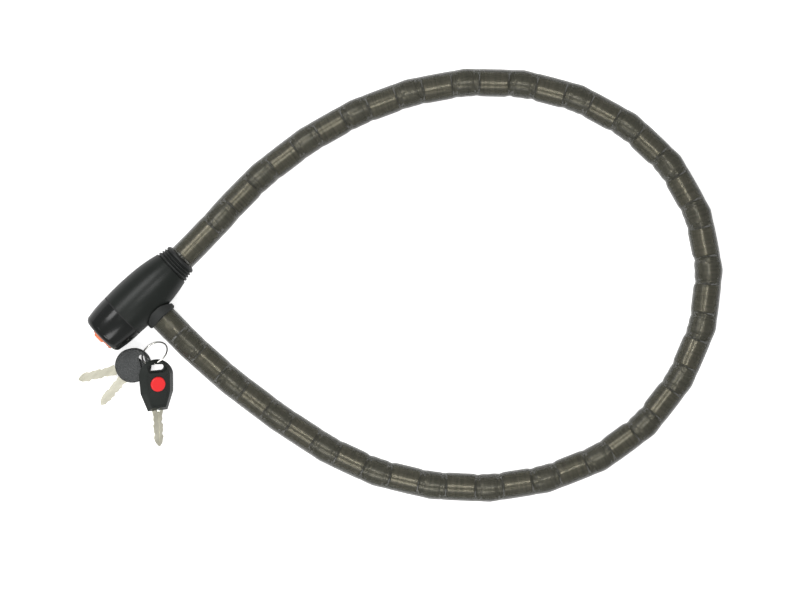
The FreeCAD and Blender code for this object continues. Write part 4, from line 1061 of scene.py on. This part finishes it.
@dataclass
class Keys:
    """Split ring, two round-bow keys and a lamp key."""

    lamp_top: Triple = (28.4 * MM, 41.7 * MM, 12.3 * MM)
    lamp_yaw: float = 47.8
    lamp_pitch: float = 11.2
    lamp_roll: float = -20.0
    button_x: float = 19.5 * MM
    face_height: float = 8.6 * MM
    line_from: float = 7.4 * MM
    line_to: float = 11.2 * MM
    line_width: float = 0.7 * MM
    line_proud: float = 0.03 * MM
    line_angles: tuple[float, ...] = (48.0, 132.0, -48.0, -132.0)
    paints: dict[str, Paint] = field(default_factory=lambda: {
        "split_ring": Paint.WIRE, "key_a_bow": Paint.BOW, "key_b_bow": Paint.BOW,
        "key_a_blade": Paint.NICKEL, "key_b_blade": Paint.NICKEL, "lamp_key_lower": Paint.LAMP,
        "lamp_key_upper": Paint.LAMP, "lamp_key_blade": Paint.NICKEL, "lamp_button": Paint.BUTTON,
        "lamp_cells": Paint.STEEL, "lamp_contact": Paint.BRASS, "key_lamp": Paint.LENS,
    })

    def _lamp_matrix(self) -> Matrix:
        """Place of the lamp key: turned about Z, then Y, then X, at its top."""
        turn = (Matrix.Rotation(math.radians(self.lamp_yaw), 4, "Z")
                @ Matrix.Rotation(math.radians(self.lamp_pitch), 4, "Y")
                @ Matrix.Rotation(math.radians(self.lamp_roll), 4, "X"))
        return Matrix.Translation(Vector(self.lamp_top)) @ turn

    def make_engraving(self) -> Piece:
        """Four short radial lines round the button.

        Each line is a thin bar from r1 to r2 along the direction (cos a, sin a), half a width to each
        side, from just under the face to just over it. Its eight corners are the products of those
        three pairs.

        Returns:
            The new piece.
        """
        angle = np.radians(np.array(self.line_angles))
        ahead = np.stack([np.cos(angle), np.sin(angle), np.zeros_like(angle)], axis=1)
        side = np.stack([-np.sin(angle), np.cos(angle), np.zeros_like(angle)], axis=1)
        run = np.array([self.line_from, self.line_to])
        wide = np.array([-0.5, 0.5]) * self.line_width
        high = self.face_height + np.array([-4.0, 1.0]) * self.line_proud
        corners = (ahead[:, None, None, None] * run[None, :, None, None, None]
                   + side[:, None, None, None] * wide[None, None, :, None, None]
                   + UP[None, None, None, None] * high[None, None, None, :, None])
        corners = corners.reshape(-1, 3) + np.array([self.button_x, 0.0, 0.0])
        place = np.array(self._lamp_matrix())
        corners = corners @ place[:3, :3].T + place[:3, 3]
        box = np.array([(0, 1, 3, 2), (4, 6, 7, 5), (0, 4, 5, 1), (2, 3, 7, 6), (0, 2, 6, 4),
                        (1, 5, 7, 3)])
        faces = (box[None] + 8 * np.arange(len(angle))[:, None, None]).reshape(-1, 4)
        return make_piece("button_engraving", corners, faces, sharp=20.0)

    def dress(self, nodes: dict[str, Piece], shop: PaintShop) -> None:
        """Puts the finishes on the keys' nodes and adds the engraved lines."""
        shop.coat_all(nodes, self.paints)
        lines = self.make_engraving()
        shop.coat(lines, Paint.ENGRAVING_AND_SEAM_SHADOW)
        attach(lines, "lamp_key")


# ---------------------------------------------------------------- studio
@dataclass
class Studio:
    """Camera straight above, soft lamps and a pale floor."""

    centre: tuple[float, float] = (-0.1457, 0.1451)
    right: Triple = (-0.719, 0.695, 0.0)
    frame_width: float = 0.640
    height: float = 2.4
    subject_height: float = 0.014
    sensor: float = 36.0
    floor_size: float = 6.0
    floor_drop: float = 0.2 * MM
    ambient: float = 0.55
    floor_colour: Colour = (0.93, 0.93, 0.93)
    floor_roughness: float = 0.9
    floor_glow: float = 0.6
    lamps: tuple[tuple[float, float, float, float, float, float], ...] = (
        (-0.75, 0.65, 1.35, 0.9, 0.5, 11.0),
        (-0.25, -1.05, 1.25, 0.9, 0.5, 9.0),
        (0.10, 0.10, 1.9, 0.5, 0.5, 7.0),
    )

    def _axes(self) -> tuple[Vector, Vector]:
        """The picture's right and up directions."""
        right = Vector(self.right).normalized()
        return right, Vector((0.0, 0.0, 1.0)).cross(right)

    def make_camera(self) -> None:
        """Makes the camera: it looks down the Z axis with the picture's right turned in plan."""
        data = bpy.data.cameras.new("camera")
        data.type = "PERSP"
        data.sensor_width = self.sensor
        data.lens = self.sensor * (self.height - self.subject_height) / self.frame_width
        data.clip_end = 20.0
        camera = bpy.data.objects.new("camera", data)
        bpy.context.scene.collection.objects.link(camera)
        right, up = self._axes()
        turn = Matrix((right, up, right.cross(up))).transposed()
        camera.matrix_world = Matrix.Translation((*self.centre, self.height)) @ turn.to_4x4()
        bpy.context.scene.camera = camera

    def make_lamps(self) -> None:
        """Makes the area lamps, each turned to the middle of the loop."""
        right, up = self._axes()
        aim = Vector((*self.centre, 0.0))
        for number, (across, along, high, wide, deep, power) in enumerate(self.lamps):
            data = bpy.data.lights.new(f"softbox_{number}", "AREA")
            data.shape = "RECTANGLE"
            data.size, data.size_y, data.energy = wide, deep, power
            lamp = bpy.data.objects.new(f"softbox_{number}", data)
            lamp.location = aim + right * across + up * along + Vector((0.0, 0.0, high))
            lamp.rotation_mode = "QUATERNION"
            lamp.rotation_quaternion = (aim - lamp.location).to_track_quat("-Z", "Y")
            lamp.visible_camera = False
            bpy.context.scene.collection.objects.link(lamp)

    @staticmethod
    def _seen(tree: bpy.types.NodeTree) -> Socket:
        """1 for camera and transmission rays, and 0 for the rest."""
        path = tree.nodes.new("ShaderNodeLightPath")
        node = tree.nodes.new("ShaderNodeMath")
        node.operation = "MAXIMUM"
        tree.links.new(path.outputs["Is Camera Ray"], node.inputs[0])
        tree.links.new(path.outputs["Is Transmission Ray"], node.inputs[1])
        return node.outputs[0]

    def make_world(self) -> None:
        """Makes a world that is white where it is seen and dimmer where it lights the lock."""
        world = bpy.data.worlds.new("studio")
        bpy.context.scene.world = world
        world.use_nodes = True
        tree = world.node_tree
        back = tree.nodes["Background"]
        back.inputs["Color"].default_value = (1.0, 1.0, 1.0, 1.0)
        strength = tree.nodes.new("ShaderNodeMapRange")
        strength.inputs["To Min"].default_value = self.ambient
        strength.inputs["To Max"].default_value = 1.0
        tree.links.new(self._seen(tree), strength.inputs["Value"])
        tree.links.new(strength.outputs["Result"], back.inputs["Strength"])

    def make_floor(self) -> None:
        """Makes the pale floor, which glows a little where it is seen."""
        half = self.floor_size / 2
        corners = np.array([(-half, -half), (half, -half), (half, half), (-half, half)])
        points = np.column_stack([corners + np.array(self.centre), np.full(4, -self.floor_drop)])
        floor = make_piece("floor", points, np.array([(0, 1, 2, 3)]))
        material = bpy.data.materials.new("pale_floor")
        material.use_nodes = True
        tree = material.node_tree
        surface = tree.nodes["Principled BSDF"]
        surface.inputs["Base Color"].default_value = (*self.floor_colour, 1.0)
        surface.inputs["Roughness"].default_value = self.floor_roughness
        surface.inputs["Specular IOR Level"].default_value = 0.0
        surface.inputs["Emission Color"].default_value = (1.0, 1.0, 1.0, 1.0)
        glow = tree.nodes.new("ShaderNodeMath")
        glow.operation = "MULTIPLY"
        glow.inputs[1].default_value = self.floor_glow
        tree.links.new(self._seen(tree), glow.inputs[0])
        tree.links.new(glow.outputs[0], surface.inputs["Emission Strength"])
        floor.data.materials.append(material)

    def build(self) -> None:
        """Makes lamps, world and floor, and sets the view transform."""
        self.make_lamps()
        self.make_world()
        self.make_floor()
        bpy.context.scene.view_settings.view_transform = "Standard"


def main() -> None:
    """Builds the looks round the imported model."""
    logging.basicConfig(level=logging.INFO, format="%(name)s: %(message)s")
    for thing in list(bpy.data.objects):
        bpy.data.objects.remove(thing)
    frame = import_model()
    studio = Studio()
    studio.make_camera()
    shop = PaintShop()
    plug = Plug().dress(frame["nodes"], shop)
    cable = Cable(CableLine(ROUTE))
    middle_2, middle_3 = (share * cable.pitch for share in LINK_MIDDLES)
    stretches = (
        Stretch(1, 0.0, middle_2, ("head", "cable_2"), (-0.092, -0.002, 0.0145),
                (-0.190, 0.004, 0.0145), (1, 2)),
        Stretch(2, middle_2, middle_3, ("cable_2", "cable_3"), (-0.362, 0.112, 0.011),
                (-0.366, 0.232, 0.011), (2, 3)),
        Stretch(3, middle_3, cable.line.length, ("cable_3", "plug"), (-0.190, 0.352, 0.011),
                (-0.074, 0.288, 0.011), (3, 4)),
    )
    for part in stretches:
        last = part is stretches[-1]
        cable.build(part, shop, plug if last else (), "plug" if last else "object")
    Head().dress(frame["nodes"], shop)
    Keys().dress(frame["nodes"], shop)
    studio.build()


if __name__ == "__main__":
    main()
